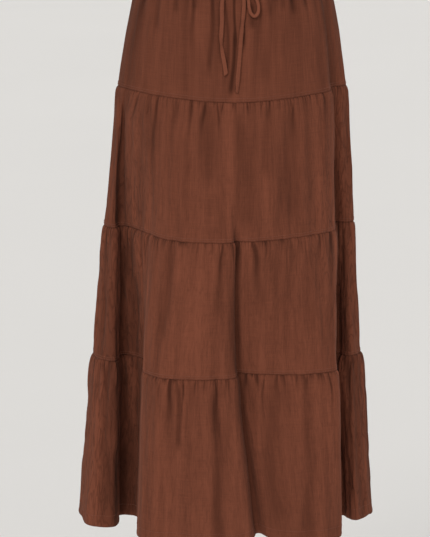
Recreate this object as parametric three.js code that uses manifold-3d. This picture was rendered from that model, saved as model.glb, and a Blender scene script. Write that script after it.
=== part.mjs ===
// Maxi skirt of four gathered tiers, with an elastic waistband and a narrow tie in a bow.
// Millimetres, +Z up. -Y is the front, and +X is at the right of someone who faces the front.
// The origin is the centre of the waistband, halfway up it.
import * as THREE from "three";
import { mergeVertices } from "three/addons/utils/BufferGeometryUtils.js";
import Module from "manifold-3d";

// Cloth and seams
const WALL = 1.5;
const SEAM_GAP = 0.3;
const BAND_WALL = 3.2;
const BAND_HEIGHT = 40;
const BAND_GATHERS = 36;
const BAND_RIPPLE = 1.1;

// Plan of the fitted part at four heights: left, right, front and back are measured from the
// side line, which lies `side` behind the origin. A power of 2 is an ellipse, less is a leaf.
const FITTED = [
  { name: "band", z: -20, left: 145, right: 145, front: 109, back: 106, side: 0, power: 2, dip: 0 },
  { name: "high hip", z: -61, left: 160, right: 162, front: 119, back: 112, side: 4, power: 1.9, dip: 2 },
  { name: "first seam", z: -199, left: 185.5, right: 184.5, front: 134, back: 116, side: 9, power: 1.65, dip: 10 },
  { name: "upper thigh", z: -250, left: 190, right: 187.5, front: 138, back: 117, side: 11, power: 1.7, dip: 8 },
];

// Heights of the draped part, with how far the front sinks below the sides, and the plan of its
// back, whose folds swell in and out by `swell` times each fold's own share.
const DRAPED = [
  { name: "thigh", z: -429, left: 207, right: 200, back: 112, side: 30, power: 1.9, dip: 3, swell: 6 },
  { name: "knee", z: -650, left: 226, right: 212, back: 128, side: 30, power: 1.95, dip: 0, swell: 12 },
  { name: "hem", z: -925, left: 250, right: 233, back: 142, side: 27, power: 2, dip: -2, swell: 20 },
];

// Crests and troughs of the front, from the left side seam round to the right one. `turn` is the
// place on the fitted plan in degrees from the front. The others are [x, y] at the height they
// are named after: a fold that begins in the fitted part has its own there too.
const FRONT_FOLDS = [
  { name: "left side seam", turn: -92, thigh: [-207, 6], knee: [-226, 12], hem: [-250, 10] },
  { name: "left flare", turn: -83, thigh: [-200, -12], knee: [-214, -10], hem: [-234, -34] },
  { name: "left flare edge", turn: -75, "upper thigh": [-184, -16], thigh: [-190, -18], knee: [-192, -22], hem: [-194, -42] },
  { name: "left valley", turn: -68, "upper thigh": [-175, -13], thigh: [-180, 0], knee: [-181, 22], hem: [-183, 18] },
  { name: "left recess", turn: -61, "upper thigh": [-165, -29], thigh: [-168, -8], knee: [-163, 17], hem: [-166, 20] },
  { name: "left return", turn: -53, "upper thigh": [-149, -55], thigh: [-149, -36], knee: [-139, -22], hem: [-146, -26] },
  { name: "left front edge", turn: -45, thigh: [-131, -70], knee: [-142, -99], hem: [-154, -98] },
  { name: "left shoulder", turn: -36, thigh: [-106, -105], knee: [-119, -135], hem: [-134, -132] },
  { name: "left thigh", turn: -20, thigh: [-58, -129], knee: [-74, -151], hem: [-80, -149] },
  { name: "inner crest", turn: -5, thigh: [-2, -131], knee: [2, -141], hem: [28, -151] },
  { name: "centre fold", turn: 4, thigh: [7, -120], knee: [10, -105], hem: [43, -121] },
  { name: "centre rise", turn: 12, thigh: [32, -121], knee: [34, -111], hem: [63, -136] },
  { name: "right thigh", turn: 28, thigh: [86, -100], knee: [92, -116], hem: [116, -139] },
  { name: "right shoulder", turn: 44, thigh: [134, -68], knee: [144, -104], hem: [156, -124] },
  {
    name: "right ridge", turn: 54, "high hip": [138, -56], "first seam": [155.5, -48], "upper thigh": [157.5, -47],
    thigh: [163, -38], knee: [168, -86], hem: [177, -98],
  },
  {
    name: "right return", turn: 62, "high hip": [143, -42], "first seam": [156, -22], "upper thigh": [157, -14],
    thigh: [166, 2], knee: [162, -38], hem: [168, -52],
  },
  {
    name: "right valley", turn: 70, "high hip": [151, -29], "first seam": [164, -7], "upper thigh": [164, 4],
    thigh: [172, 40], knee: [175, 36], hem: [183, 18],
  },
  {
    name: "right flare", turn: 79, "high hip": [159, -12], "first seam": [177, 2], "upper thigh": [179, 12],
    thigh: [186, 36], knee: [191, 18], hem: [204, -8],
  },
  { name: "right side seam", turn: 92, "upper thigh": [188, 19], thigh: [200, 44], knee: [212, 38], hem: [233, 32] },
];

// Folds of the back, from the right side seam round to the left one: the share of each height's
// swell by which it stands out or, below zero, sinks in.
const BACK_FOLDS = [
  { name: "right back crest", turn: 106, out: 0.5 },
  { name: "right back trough", turn: 120, out: -1 },
  { name: "right inner crest", turn: 136, out: 0.8 },
  { name: "right inner trough", turn: 151, out: -0.9 },
  { name: "back crest", turn: 169, out: 1 },
  { name: "back trough", turn: 186, out: -1.1 },
  { name: "left inner crest", turn: 203, out: 0.9 },
  { name: "left inner trough", turn: 218, out: -0.8 },
  { name: "left middle crest", turn: 232, out: 0.6 },
  { name: "left back trough", turn: 244, out: -0.7 },
  { name: "left back crest", turn: 256, out: 0.5 },
];

// Tiers, from the yoke down. `ripple` is the depth of a gather at its seam, `fade` the height over
// which it dies away, and `puff` how far the tier springs out below its seam. `fine` and `coarse`
// are the wall's rows, in millimetres below the seam; a last row lies at the tier's foot.
const TIERS = [
  { name: "tier_1", top: -20, foot: -199, gathers: 36, ripple: 2, fade: 30, puff: 2, fine: [0, 8, 36], coarse: [85] },
  { name: "tier_2", top: -199, foot: -429, gathers: 44, ripple: 2.6, fade: 42, puff: 3.4, fine: [0, 7, 38], coarse: [84, 150] },
  { name: "tier_3", top: -429, foot: -650, gathers: 48, ripple: 2.6, fade: 42, puff: 3.4, fine: [0, 7, 38], coarse: [84, 150] },
  { name: "tier_4", top: -650, foot: -925, gathers: 52, ripple: 2.6, fade: 46, puff: 3.6, fine: [0, 7, 38], coarse: [88, 170] },
];
const COLUMN_STEP = 17;
const STEPS_IN_A_GATHER = 3;

// Tie: a narrow turned strip of the same cloth. A section's sizes are those across and along the
// frame that its path carries, which is the strip's width and thickness on the tails.
const TAIL = { across: 7.6, along: 2.6 };
const LOOP = { across: 3.2, along: 6.4 };
const KNOT = { centre: [0, -115.5, 0], radii: [9.5, 6, 8] };
const LEAD = { inner: [5, -113.6, 3.4], outer: [25, -110.3, 5], radius: 1.9 };
const TIE_SIDES = 8;
const TIE_STEP = 7;

const CLOTH = { color: 0x6c3e2e, roughness: 0.92, metalness: 0 };
const TIE_CLOTH = { color: 0x653a2b, roughness: 0.9, metalness: 0 };

const LEVELS = [...FITTED, ...DRAPED];
const STATIONS = [...FRONT_FOLDS, ...BACK_FOLDS];
const LEFT_SEAM = 0;
const RIGHT_SEAM = FRONT_FOLDS.length - 1;

// Point of a fitted plan at `turn` degrees from the front, +X first
function onPlan(plan, turn) {
  const angle = THREE.MathUtils.degToRad(turn);
  const across = Math.sin(angle);
  const along = -Math.cos(angle);
  const half = across < 0 ? plan.left : plan.right;
  const deep = along < 0 ? plan.front : plan.back;
  const bend = 2 / plan.power;
  return [
    half * Math.sign(across) * Math.abs(across) ** bend,
    plan.side + deep * Math.sign(along) * Math.abs(along) ** bend,
  ];
}

// Plan position of one crest or trough at one height
function stationAt(station, level) {
  if (station[level.name]) return station[level.name];
  const [x, y] = onPlan(level, station.turn);
  const out = level.swell && station.out ? (level.swell * station.out) / Math.hypot(x, y) : 0;
  return [x * (1 + out), y * (1 + out)];
}

// Smooth line through one value for each height, read at height z
function alongHeight(values, z) {
  const heights = LEVELS.map((level) => level.z);
  const last = heights.length - 1;
  if (z >= heights[0]) return values[0];
  if (z <= heights[last]) return values[last];
  const i = heights.findIndex((h, k) => z <= h && z > heights[k + 1]);
  const slope = (k) => {
    const a = Math.max(0, k - 1);
    const b = Math.min(last, k + 1);
    return (values[b] - values[a]) / (heights[b] - heights[a]);
  };
  const span = heights[i + 1] - heights[i];
  const t = (z - heights[i]) / span;
  const start = values[i] * (1 + 2 * t) * (1 - t) ** 2 + slope(i) * span * t * (1 - t) ** 2;
  const end = values[i + 1] * t * t * (3 - 2 * t) + slope(i + 1) * span * t * t * (t - 1);
  return start + end;
}

const stationXs = STATIONS.map((s) => LEVELS.map((level) => stationAt(s, level)[0]));
const stationYs = STATIONS.map((s) => LEVELS.map((level) => stationAt(s, level)[1]));
const dips = LEVELS.map((level) => level.dip);
const plans = new Map();

// Closed curve of the skirt's plan at height z, through all its crests and troughs
function planAt(z) {
  const key = z.toFixed(3);
  if (!plans.has(key)) {
    const points = STATIONS.map(
      (_, i) => new THREE.Vector3(alongHeight(stationXs[i], z), alongHeight(stationYs[i], z), 0),
    );
    plans.set(key, new THREE.CatmullRomCurve3(points, true, "centripetal"));
  }
  return plans.get(key);
}

// Point of the wall at height z and place q, counted in stations, moved `out` along the plan's
// normal and `aside` along its tangent. The front sinks below the sides by the height's dip.
function wallPoint(z, q, out, aside) {
  const plan = planAt(z);
  const t = THREE.MathUtils.euclideanModulo(q / STATIONS.length, 1);
  const p = plan.getPoint(t);
  const along = plan.getTangent(t);
  const front = THREE.MathUtils.clamp(-p.y / 120, 0, 1);
  const sunk = z - alongHeight(dips, z) * front * front;
  return new THREE.Vector3(
    p.x + along.y * out + along.x * aside,
    p.y - along.x * out + along.y * aside,
    sunk,
  );
}

// Places of `count` + 1 columns from station `from` to station `to`, evenly spaced along the plan
function evenColumns(z, from, to, count) {
  const samples = 600;
  const places = Array.from({ length: samples + 1 }, (_, i) => from + ((to - from) * i) / samples);
  const points = places.map((q) => wallPoint(z, q, 0, 0));
  const run = [0];
  for (let i = 1; i <= samples; i++) run.push(run[i - 1] + points[i].distanceTo(points[i - 1]));
  return Array.from({ length: count + 1 }, (_, c) => {
    if (c === 0) return from;
    if (c === count) return to;
    const target = (run[samples] * c) / count;
    const i = run.findIndex((r) => r >= target) - 1;
    const part = (target - run[i]) / (run[i + 1] - run[i]);
    return places[i] + (places[i + 1] - places[i]) * part;
  });
}

// Places of columns that hold every crest and trough, with steps of about COLUMN_STEP between
function foldColumns(z, from, to) {
  const places = [from];
  for (let s = from; s < to; s++) {
    const reach = wallPoint(z, s, 0, 0).distanceTo(wallPoint(z, s + 1, 0, 0));
    const steps = Math.max(2, Math.round(reach / COLUMN_STEP));
    for (let k = 1; k <= steps; k++) places.push(s + k / steps);
  }
  return places;
}

// How far a gather stands out at `below` millimetres under its seam: a narrow groove between
// two flanks of a puff, each gather with its own depth and length
function gatherOut(tier, column, below) {
  const gather = Math.floor(column / STEPS_IN_A_GATHER);
  const shape = column % STEPS_IN_A_GATHER === 0 ? -1 : 0.5;
  const depth = tier.ripple * (0.75 + 0.3 * Math.sin(2.4 * gather));
  const fade = tier.fade * (1 + 0.45 * Math.sin(1.7 * gather + 1));
  const sewn = 0.3 + 0.7 * (1 - Math.exp(-below / 4));
  return depth * shape * sewn * Math.exp(-below / fade);
}

// How far the tier springs out below its seam, back to the plan at its foot
function puffOut(tier, below) {
  const height = tier.top - tier.foot;
  return tier.puff * (1 - Math.exp(-below / 5)) * (1 - below / height);
}

// A row of the wall: its places, and its outer and inner points
function wallRow(places, z, thick, outAt, closed) {
  const last = places.length - 1;
  const aside = (i) => {
    if (closed) return 0;
    if (i === 0) return SEAM_GAP / 2;
    return i === last ? -SEAM_GAP / 2 : 0;
  };
  return {
    places,
    outer: places.map((q, i) => wallPoint(z, q, outAt(i), aside(i))),
    inner: places.map((q, i) => wallPoint(z, q, outAt(i) - thick, aside(i))),
  };
}

// Closed wall through rows from the top down. Two rows may differ in their number of columns:
// the faces between them step along whichever row is behind.
function wallGeometry(rows, closed) {
  const positions = [];
  const face = (...corners) => {
    for (const p of corners) positions.push(p.x, p.y, p.z);
  };
  const strip = (high, low, highPlaces, lowPlaces, flip) => {
    const triangle = (a, b, c) => (flip ? face(a, c, b) : face(a, b, c));
    let i = 0;
    let j = 0;
    while (i < high.length - 1 || j < low.length - 1) {
      const highNext = i < high.length - 1 ? highPlaces[i + 1] : Infinity;
      const lowNext = j < low.length - 1 ? lowPlaces[j + 1] : Infinity;
      if (highNext < lowNext) {
        triangle(high[i], low[j], high[i + 1]);
        i++;
      } else {
        triangle(high[i], low[j], low[j + 1]);
        j++;
      }
    }
  };
  for (let r = 0; r < rows.length - 1; r++) {
    const [a, b] = [rows[r], rows[r + 1]];
    strip(a.outer, b.outer, a.places, b.places, false);
    strip(a.inner, b.inner, a.places, b.places, true);
  }
  const top = rows[0];
  const foot = rows[rows.length - 1];
  strip(top.inner, top.outer, top.places, top.places, false);
  strip(foot.outer, foot.inner, foot.places, foot.places, false);
  if (!closed) {
    const pairs = rows.map((_, r) => r);
    for (const [end, flip] of [["start", false], ["end", true]]) {
      const pick = (points) => (end === "start" ? points[0] : points[points.length - 1]);
      const inner = rows.map((row) => pick(row.inner));
      const outer = rows.map((row) => pick(row.outer));
      strip(outer, inner, pairs, pairs, flip);
    }
  }
  const geometry = new THREE.BufferGeometry();
  geometry.setAttribute("position", new THREE.Float32BufferAttribute(positions, 3));
  return geometry;
}

function namedMesh(name, geometry, finish) {
  geometry.computeVertexNormals();
  const mesh = new THREE.Mesh(geometry, new THREE.MeshStandardMaterial(finish));
  mesh.name = name;
  return mesh;
}

// One panel of a tier, between two side seams
function panel(tier, side, from, to) {
  const share = side === "front" ? 0.52 : 0.48;
  const gathers = Math.round(tier.gathers * share);
  const fine = evenColumns(tier.top, from, to, gathers * STEPS_IN_A_GATHER);
  const coarse = foldColumns(tier.foot, from, to);
  const height = tier.top - tier.foot;
  const rowAt = (places, below, gathered) => {
    const lift = below === 0 ? -SEAM_GAP / 2 : 0;
    const rest = below === height ? SEAM_GAP / 2 : 0;
    const outAt = (i) => puffOut(tier, below) + (gathered ? gatherOut(tier, i, below) : 0);
    return wallRow(places, tier.top - below + lift + rest, WALL, outAt, false);
  };
  const rows = [
    ...tier.fine.map((below) => rowAt(fine, below, true)),
    ...[...tier.coarse, height].map((below) => rowAt(coarse, below, false)),
  ];
  return namedMesh(`${tier.name}_${side}`, wallGeometry(rows, false), CLOTH);
}

// Elastic waistband: a closed ring, rippled all round and drawn in at its two stitched edges
function waistband() {
  const columns = BAND_GATHERS * STEPS_IN_A_GATHER;
  const places = evenColumns(TIERS[0].top, 0, STATIONS.length, columns);
  const half = BAND_HEIGHT / 2;
  const rowAt = (z, depth, out) => {
    const outAt = (i) => out + depth * (i % STEPS_IN_A_GATHER === 0 ? -1 : 0.5);
    const row = wallRow(places, TIERS[0].top, BAND_WALL, outAt, true);
    for (const p of [...row.outer, ...row.inner]) p.z = z;
    return row;
  };
  const rows = [
    rowAt(half, BAND_RIPPLE * 0.5, -1),
    rowAt(half - 8, BAND_RIPPLE, 0),
    rowAt(8 - half, BAND_RIPPLE, 0),
    rowAt(SEAM_GAP / 2 - half, BAND_RIPPLE * 0.5, -0.4),
  ];
  return namedMesh("waistband", wallGeometry(rows, true), CLOTH);
}

// Oval section of the tie
function ovalSection({ across, along }) {
  const corners = Array.from({ length: TIE_SIDES }, (_, i) => {
    const angle = ((i + 0.5) / TIE_SIDES) * Math.PI * 2;
    return new THREE.Vector2((across / 2) * Math.cos(angle), (along / 2) * Math.sin(angle));
  });
  return new THREE.Shape(corners);
}

// One free length of the tie along its route
function tieStrand(name, route, section) {
  const path = new THREE.CatmullRomCurve3(route.map((p) => new THREE.Vector3(...p)));
  const steps = Math.round(path.getLength() / TIE_STEP);
  const geometry = new THREE.ExtrudeGeometry(ovalSection(section), {
    steps,
    extrudePath: path,
    bevelEnabled: false,
  });
  return namedMesh(name, geometry, TIE_CLOTH);
}

// Routes of the tie, each starting at the knot
const TAIL_LEFT_ROUTE = [
  [-5.5, -112.6, -8.8], [-6, -113.4, -13], [-8.6, -113.4, -21], [-13, -114.6, -33], [-16.4, -116.6, -48],
  [-17.3, -118.2, -64], [-17, -119.4, -80], [-18, -120.6, -98], [-18.6, -121.4, -116], [-16.6, -122.4, -130],
  [-13.6, -123.5, -146], [-10.7, -124.7, -164],
];
const TAIL_RIGHT_ROUTE = [
  [3.4, -112.6, -8.8], [3.9, -113.4, -13], [7.6, -113.4, -21], [13, -114.4, -33], [17, -116.4, -48],
  [16.8, -118.2, -64], [15.2, -119.6, -80], [13.4, -121, -98], [12, -122.2, -116], [10.8, -123.1, -132],
  [9.4, -124.2, -150], [7.8, -125.4, -170], [5.9, -126.6, -192],
];
const LOOP_RIGHT_ROUTE = [
  [8.6, -119.4, -6.8], [13.4, -119.9, -17], [20, -120, -34], [24, -119.9, -48], [25.4, -119, -60],
  [28, -118.2, -69], [33.4, -117.6, -73.6], [38.6, -116.8, -69.4], [40, -116, -60], [37.4, -115.2, -48],
  [31.6, -114.4, -33], [23, -114.6, -17], [11, -116, -1.4],
];
const LOOP_LEFT_ROUTE = [
  [-8.6, -119.4, -6.8], [-15, -119.6, -16], [-24, -117, -27], [-33, -113.4, -34.6], [-41, -111.4, -36.8],
  [-46, -109.8, -32.6], [-45, -109, -24.6], [-37.4, -109.4, -15.6], [-25, -112.2, -7.6], [-11, -116, -1.4],
];

const wasm = await Module();
wasm.setup();

// Closed solid for joining, from a mesh geometry whose corners are shared
function solidOf(geometry) {
  const bare = new THREE.BufferGeometry();
  const flat = geometry.index ? geometry.toNonIndexed() : geometry;
  bare.setAttribute("position", flat.getAttribute("position"));
  const merged = mergeVertices(bare, 1e-3);
  return new wasm.Manifold(
    new wasm.Mesh({
      numProp: 3,
      vertProperties: merged.getAttribute("position").array,
      triVerts: new Uint32Array(merged.index.array),
    }),
  );
}

// Knot of the bow, joined to the two short leads that come out of the band's buttonholes
function tieKnot() {
  const ball = new THREE.SphereGeometry(1, 16, 10);
  ball.scale(...KNOT.radii);
  ball.translate(...KNOT.centre);
  let solid = solidOf(ball);
  for (const hand of [-1, 1]) {
    const [from, to] = [LEAD.inner, LEAD.outer].map(([x, y, z]) => new THREE.Vector3(hand * x, y, z));
    const path = new THREE.LineCurve3(from, to);
    const round = ovalSection({ across: LEAD.radius * 2, along: LEAD.radius * 2 });
    const lead = new THREE.ExtrudeGeometry(round, { steps: 2, extrudePath: path, bevelEnabled: false });
    solid = solid.add(solidOf(lead));
  }
  const made = solid.getMesh();
  const geometry = new THREE.BufferGeometry();
  geometry.setAttribute("position", new THREE.Float32BufferAttribute(made.vertProperties, 3));
  geometry.setIndex(new THREE.Uint32BufferAttribute(made.triVerts, 1));
  return namedMesh("tie_knot", geometry, TIE_CLOTH);
}

const skirt = new THREE.Group();
skirt.add(waistband());
for (const tier of TIERS) {
  skirt.add(panel(tier, "front", LEFT_SEAM, RIGHT_SEAM));
  skirt.add(panel(tier, "back", RIGHT_SEAM, STATIONS.length));
}

const tie = new THREE.Group();
tie.add(tieKnot());
tie.add(tieStrand("tie_tail_left", TAIL_LEFT_ROUTE, TAIL));
tie.add(tieStrand("tie_tail_right", TAIL_RIGHT_ROUTE, TAIL));
tie.add(tieStrand("tie_loop_left", LOOP_LEFT_ROUTE, LOOP));
tie.add(tieStrand("tie_loop_right", LOOP_RIGHT_ROUTE, LOOP));
skirt.add(tie);

export default skirt;
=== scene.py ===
"""Maxi skirt of four gathered tiers, with an elastic waistband and a narrow tie in a bow.

Everything is in metres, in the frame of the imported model: +Z is up, -Y is the front, and the
origin is the middle of the waistband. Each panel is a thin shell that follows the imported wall.
"""

import logging
import math
from dataclasses import dataclass, field
from enum import Enum
from typing import Any, Sequence

import bpy
import numpy as np
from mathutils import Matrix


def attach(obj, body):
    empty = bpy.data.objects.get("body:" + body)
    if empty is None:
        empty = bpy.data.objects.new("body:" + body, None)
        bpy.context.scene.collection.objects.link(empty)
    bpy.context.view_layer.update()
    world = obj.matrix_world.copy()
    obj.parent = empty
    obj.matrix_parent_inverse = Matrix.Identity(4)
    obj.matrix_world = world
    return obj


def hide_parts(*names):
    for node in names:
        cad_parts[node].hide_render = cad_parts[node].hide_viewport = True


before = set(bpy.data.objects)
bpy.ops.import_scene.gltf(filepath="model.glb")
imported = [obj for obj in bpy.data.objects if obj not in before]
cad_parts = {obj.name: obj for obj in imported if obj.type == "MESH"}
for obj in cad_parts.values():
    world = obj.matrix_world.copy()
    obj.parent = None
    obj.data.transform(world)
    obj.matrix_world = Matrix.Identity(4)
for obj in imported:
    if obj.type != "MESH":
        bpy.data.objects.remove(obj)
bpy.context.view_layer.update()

log = logging.getLogger("maxi_skirt")
BODY = "root"

Array = np.ndarray
Pair = tuple[float, float]
Triple = tuple[float, float, float]
Socket = bpy.types.NodeSocket
Material = bpy.types.Material
Object = bpy.types.Object


class Side(Enum):
    """The two halves of the skirt, between its side seams."""

    FRONT = "front"
    BACK = "back"


class Slot(Enum):
    """Material slots of the record."""

    CLOTH = "cloth"
    TIE_CLOTH = "tie_cloth"


# Shader maths


class Value:
    """A number socket in shader maths, so that an expression adds its Math nodes."""

    def __init__(self, tree: "NodeTree", socket: Socket) -> None:
        """Wrap one socket.

        Args:
            tree: The tree that the socket's node belongs to.
            socket: An output that holds a number.
        """
        self.tree = tree
        self.socket = socket

    def _math(self, operation: str, *terms: "Value | float") -> "Value":
        """Add a Math node.

        Args:
            operation: The node's operation.
            terms: Its inputs in order.

        Returns:
            The node's result.
        """
        inputs = {place: term for place, term in enumerate(terms)}
        return self.tree.value("ShaderNodeMath", {"operation": operation}, inputs)

    def __add__(self, other: "Value | float") -> "Value":
        """Return self + other."""
        return self._math("ADD", self, other)

    def __radd__(self, other: float) -> "Value":
        """Return other + self."""
        return self._math("ADD", other, self)

    def __sub__(self, other: "Value | float") -> "Value":
        """Return self - other."""
        return self._math("SUBTRACT", self, other)

    def __rsub__(self, other: float) -> "Value":
        """Return other - self."""
        return self._math("SUBTRACT", other, self)

    def __mul__(self, other: "Value | float") -> "Value":
        """Return self * other."""
        return self._math("MULTIPLY", self, other)

    def __rmul__(self, other: float) -> "Value":
        """Return other * self."""
        return self._math("MULTIPLY", other, self)

    def sine(self) -> "Value":
        """Return the sine of self, in radians."""
        return self._math("SINE", self)

    def away(self) -> "Value":
        """Return the size of self, without its sign."""
        return self._math("ABSOLUTE", self)

    def within(self, low: float, high: float) -> "Value":
        """Return self held between low and high."""
        return self._math("MAXIMUM", self._math("MINIMUM", self, high), low)


class NodeTree:
    """The node tree of one material or world, and the only place that makes nodes."""

    def __init__(self, owner: Material | bpy.types.World) -> None:
        """Empty the owner's node tree.

        Args:
            owner: The material or the world.
        """
        self.owner = owner
        owner.use_nodes = True
        self.nodes = owner.node_tree.nodes
        self.links = owner.node_tree.links
        self.nodes.clear()

    def node(self, kind: str, settings: dict[str, Any], inputs: dict[Any, Any]) -> bpy.types.Node:
        """Make any node.

        Args:
            kind: The node's type.
            settings: Its properties, which are set first. "stops" holds a ramp's stops.
            inputs: Its sockets' values, sockets or wrapped sockets, by name or place.

        Returns:
            The node.
        """
        made = self.nodes.new(kind)
        for key, setting in settings.items():
            if key == "stops":
                self._set_stops(made.color_ramp, setting)
            else:
                setattr(made, key, setting)
        for key, given in inputs.items():
            socket = made.inputs[key]
            if isinstance(given, Value):
                self.links.new(given.socket, socket)
            elif isinstance(given, Socket):
                self.links.new(given, socket)
            else:
                socket.default_value = given
        return made

    @staticmethod
    def _set_stops(ramp: bpy.types.ColorRamp, stops: Sequence[tuple[float, tuple]]) -> None:
        """Give a ramp its stops.

        Args:
            ramp: The ramp.
            stops: Pairs of place and colour, the first two in the ramp's own stops.
        """
        for place, (at, colour) in enumerate(stops):
            stop = ramp.elements[place] if place < 2 else ramp.elements.new(at)
            stop.position = at
            stop.color = colour

    def value(self, kind: str, settings: dict[str, Any], inputs: dict[Any, Any], out: Any = 0) -> Value:
        """Make a node and wrap one of its outputs as a number.

        Args:
            kind: The node's type.
            settings: Its properties.
            inputs: Its sockets' values or links.
            out: The output's name or place.

        Returns:
            The wrapped output.
        """
        return Value(self, self.node(kind, settings, inputs).outputs[out])

    def scaled(self, vector: Socket, scale: Triple) -> Socket:
        """Return a vector times a scale for each axis."""
        return self.node("ShaderNodeVectorMath", {"operation": "MULTIPLY"}, {0: vector, 1: scale}).outputs[0]

    def noise(self, vector: Socket, cell: Pair, detail: float = 2.0, bend: float = 0.0) -> Value:
        """Make soft noise on a plane.

        Args:
            vector: Coordinates in metres.
            cell: The noise's size across and along, in metres.
            detail: How many finer layers it has.
            bend: How much it is distorted.

        Returns:
            The noise, about 0.5.
        """
        spread = self.scaled(vector, (1 / cell[0], 1 / cell[1], 1.0))
        inputs = {"Vector": spread, "Scale": 1.0, "Detail": detail, "Roughness": 0.55, "Distortion": bend}
        return self.value("ShaderNodeTexNoise", {"noise_dimensions": "2D"}, inputs, "Fac")

    def lines(self, vector: Socket, cell: Pair, thin: float, bend: float) -> Value:
        """Make thin wandering lines on a plane.

        Args:
            vector: Coordinates in metres.
            cell: The size across and along of the puffs between the lines, in metres.
            thin: How narrow the lines are.
            bend: How much they wander.

        Returns:
            1 on a line and 0 between.
        """
        noise = self.noise(vector, cell, 1.0, bend)
        return (1.0 - (noise - 0.5).away() * thin).within(0.0, 1.0)

    def tone(self, name: str) -> Value:
        """Return a tone that the mesh carries at its points."""
        return self.value("ShaderNodeAttribute", {"attribute_name": name}, {}, "Fac")

    def tinted(self, factor: Value, first: Any, second: Any) -> Socket:
        """Mix two colours.

        Args:
            factor: How much of the second shows.
            first: A colour, or a socket that holds one.
            second: A colour, or a socket that holds one.

        Returns:
            The mixed colour's socket.
        """
        settings = {"data_type": "RGBA", "clamp_factor": True}
        return self.node("ShaderNodeMix", settings, {0: factor, 6: first, 7: second}).outputs[2]

    def finished(self, shader: Socket) -> Material:
        """Join a shader to the material's output and return the material."""
        self.node("ShaderNodeOutputMaterial", {}, {"Surface": shader})
        return self.owner


def toned(colour: Triple, by: float) -> tuple[float, float, float, float]:
    """Return a linear colour made lighter or darker, with full alpha.

    Args:
        colour: The colour.
        by: What each part is multiplied by.

    Returns:
        The toned colour.
    """
    return (colour[0] * by, colour[1] * by, colour[2] * by, 1.0)


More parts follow.
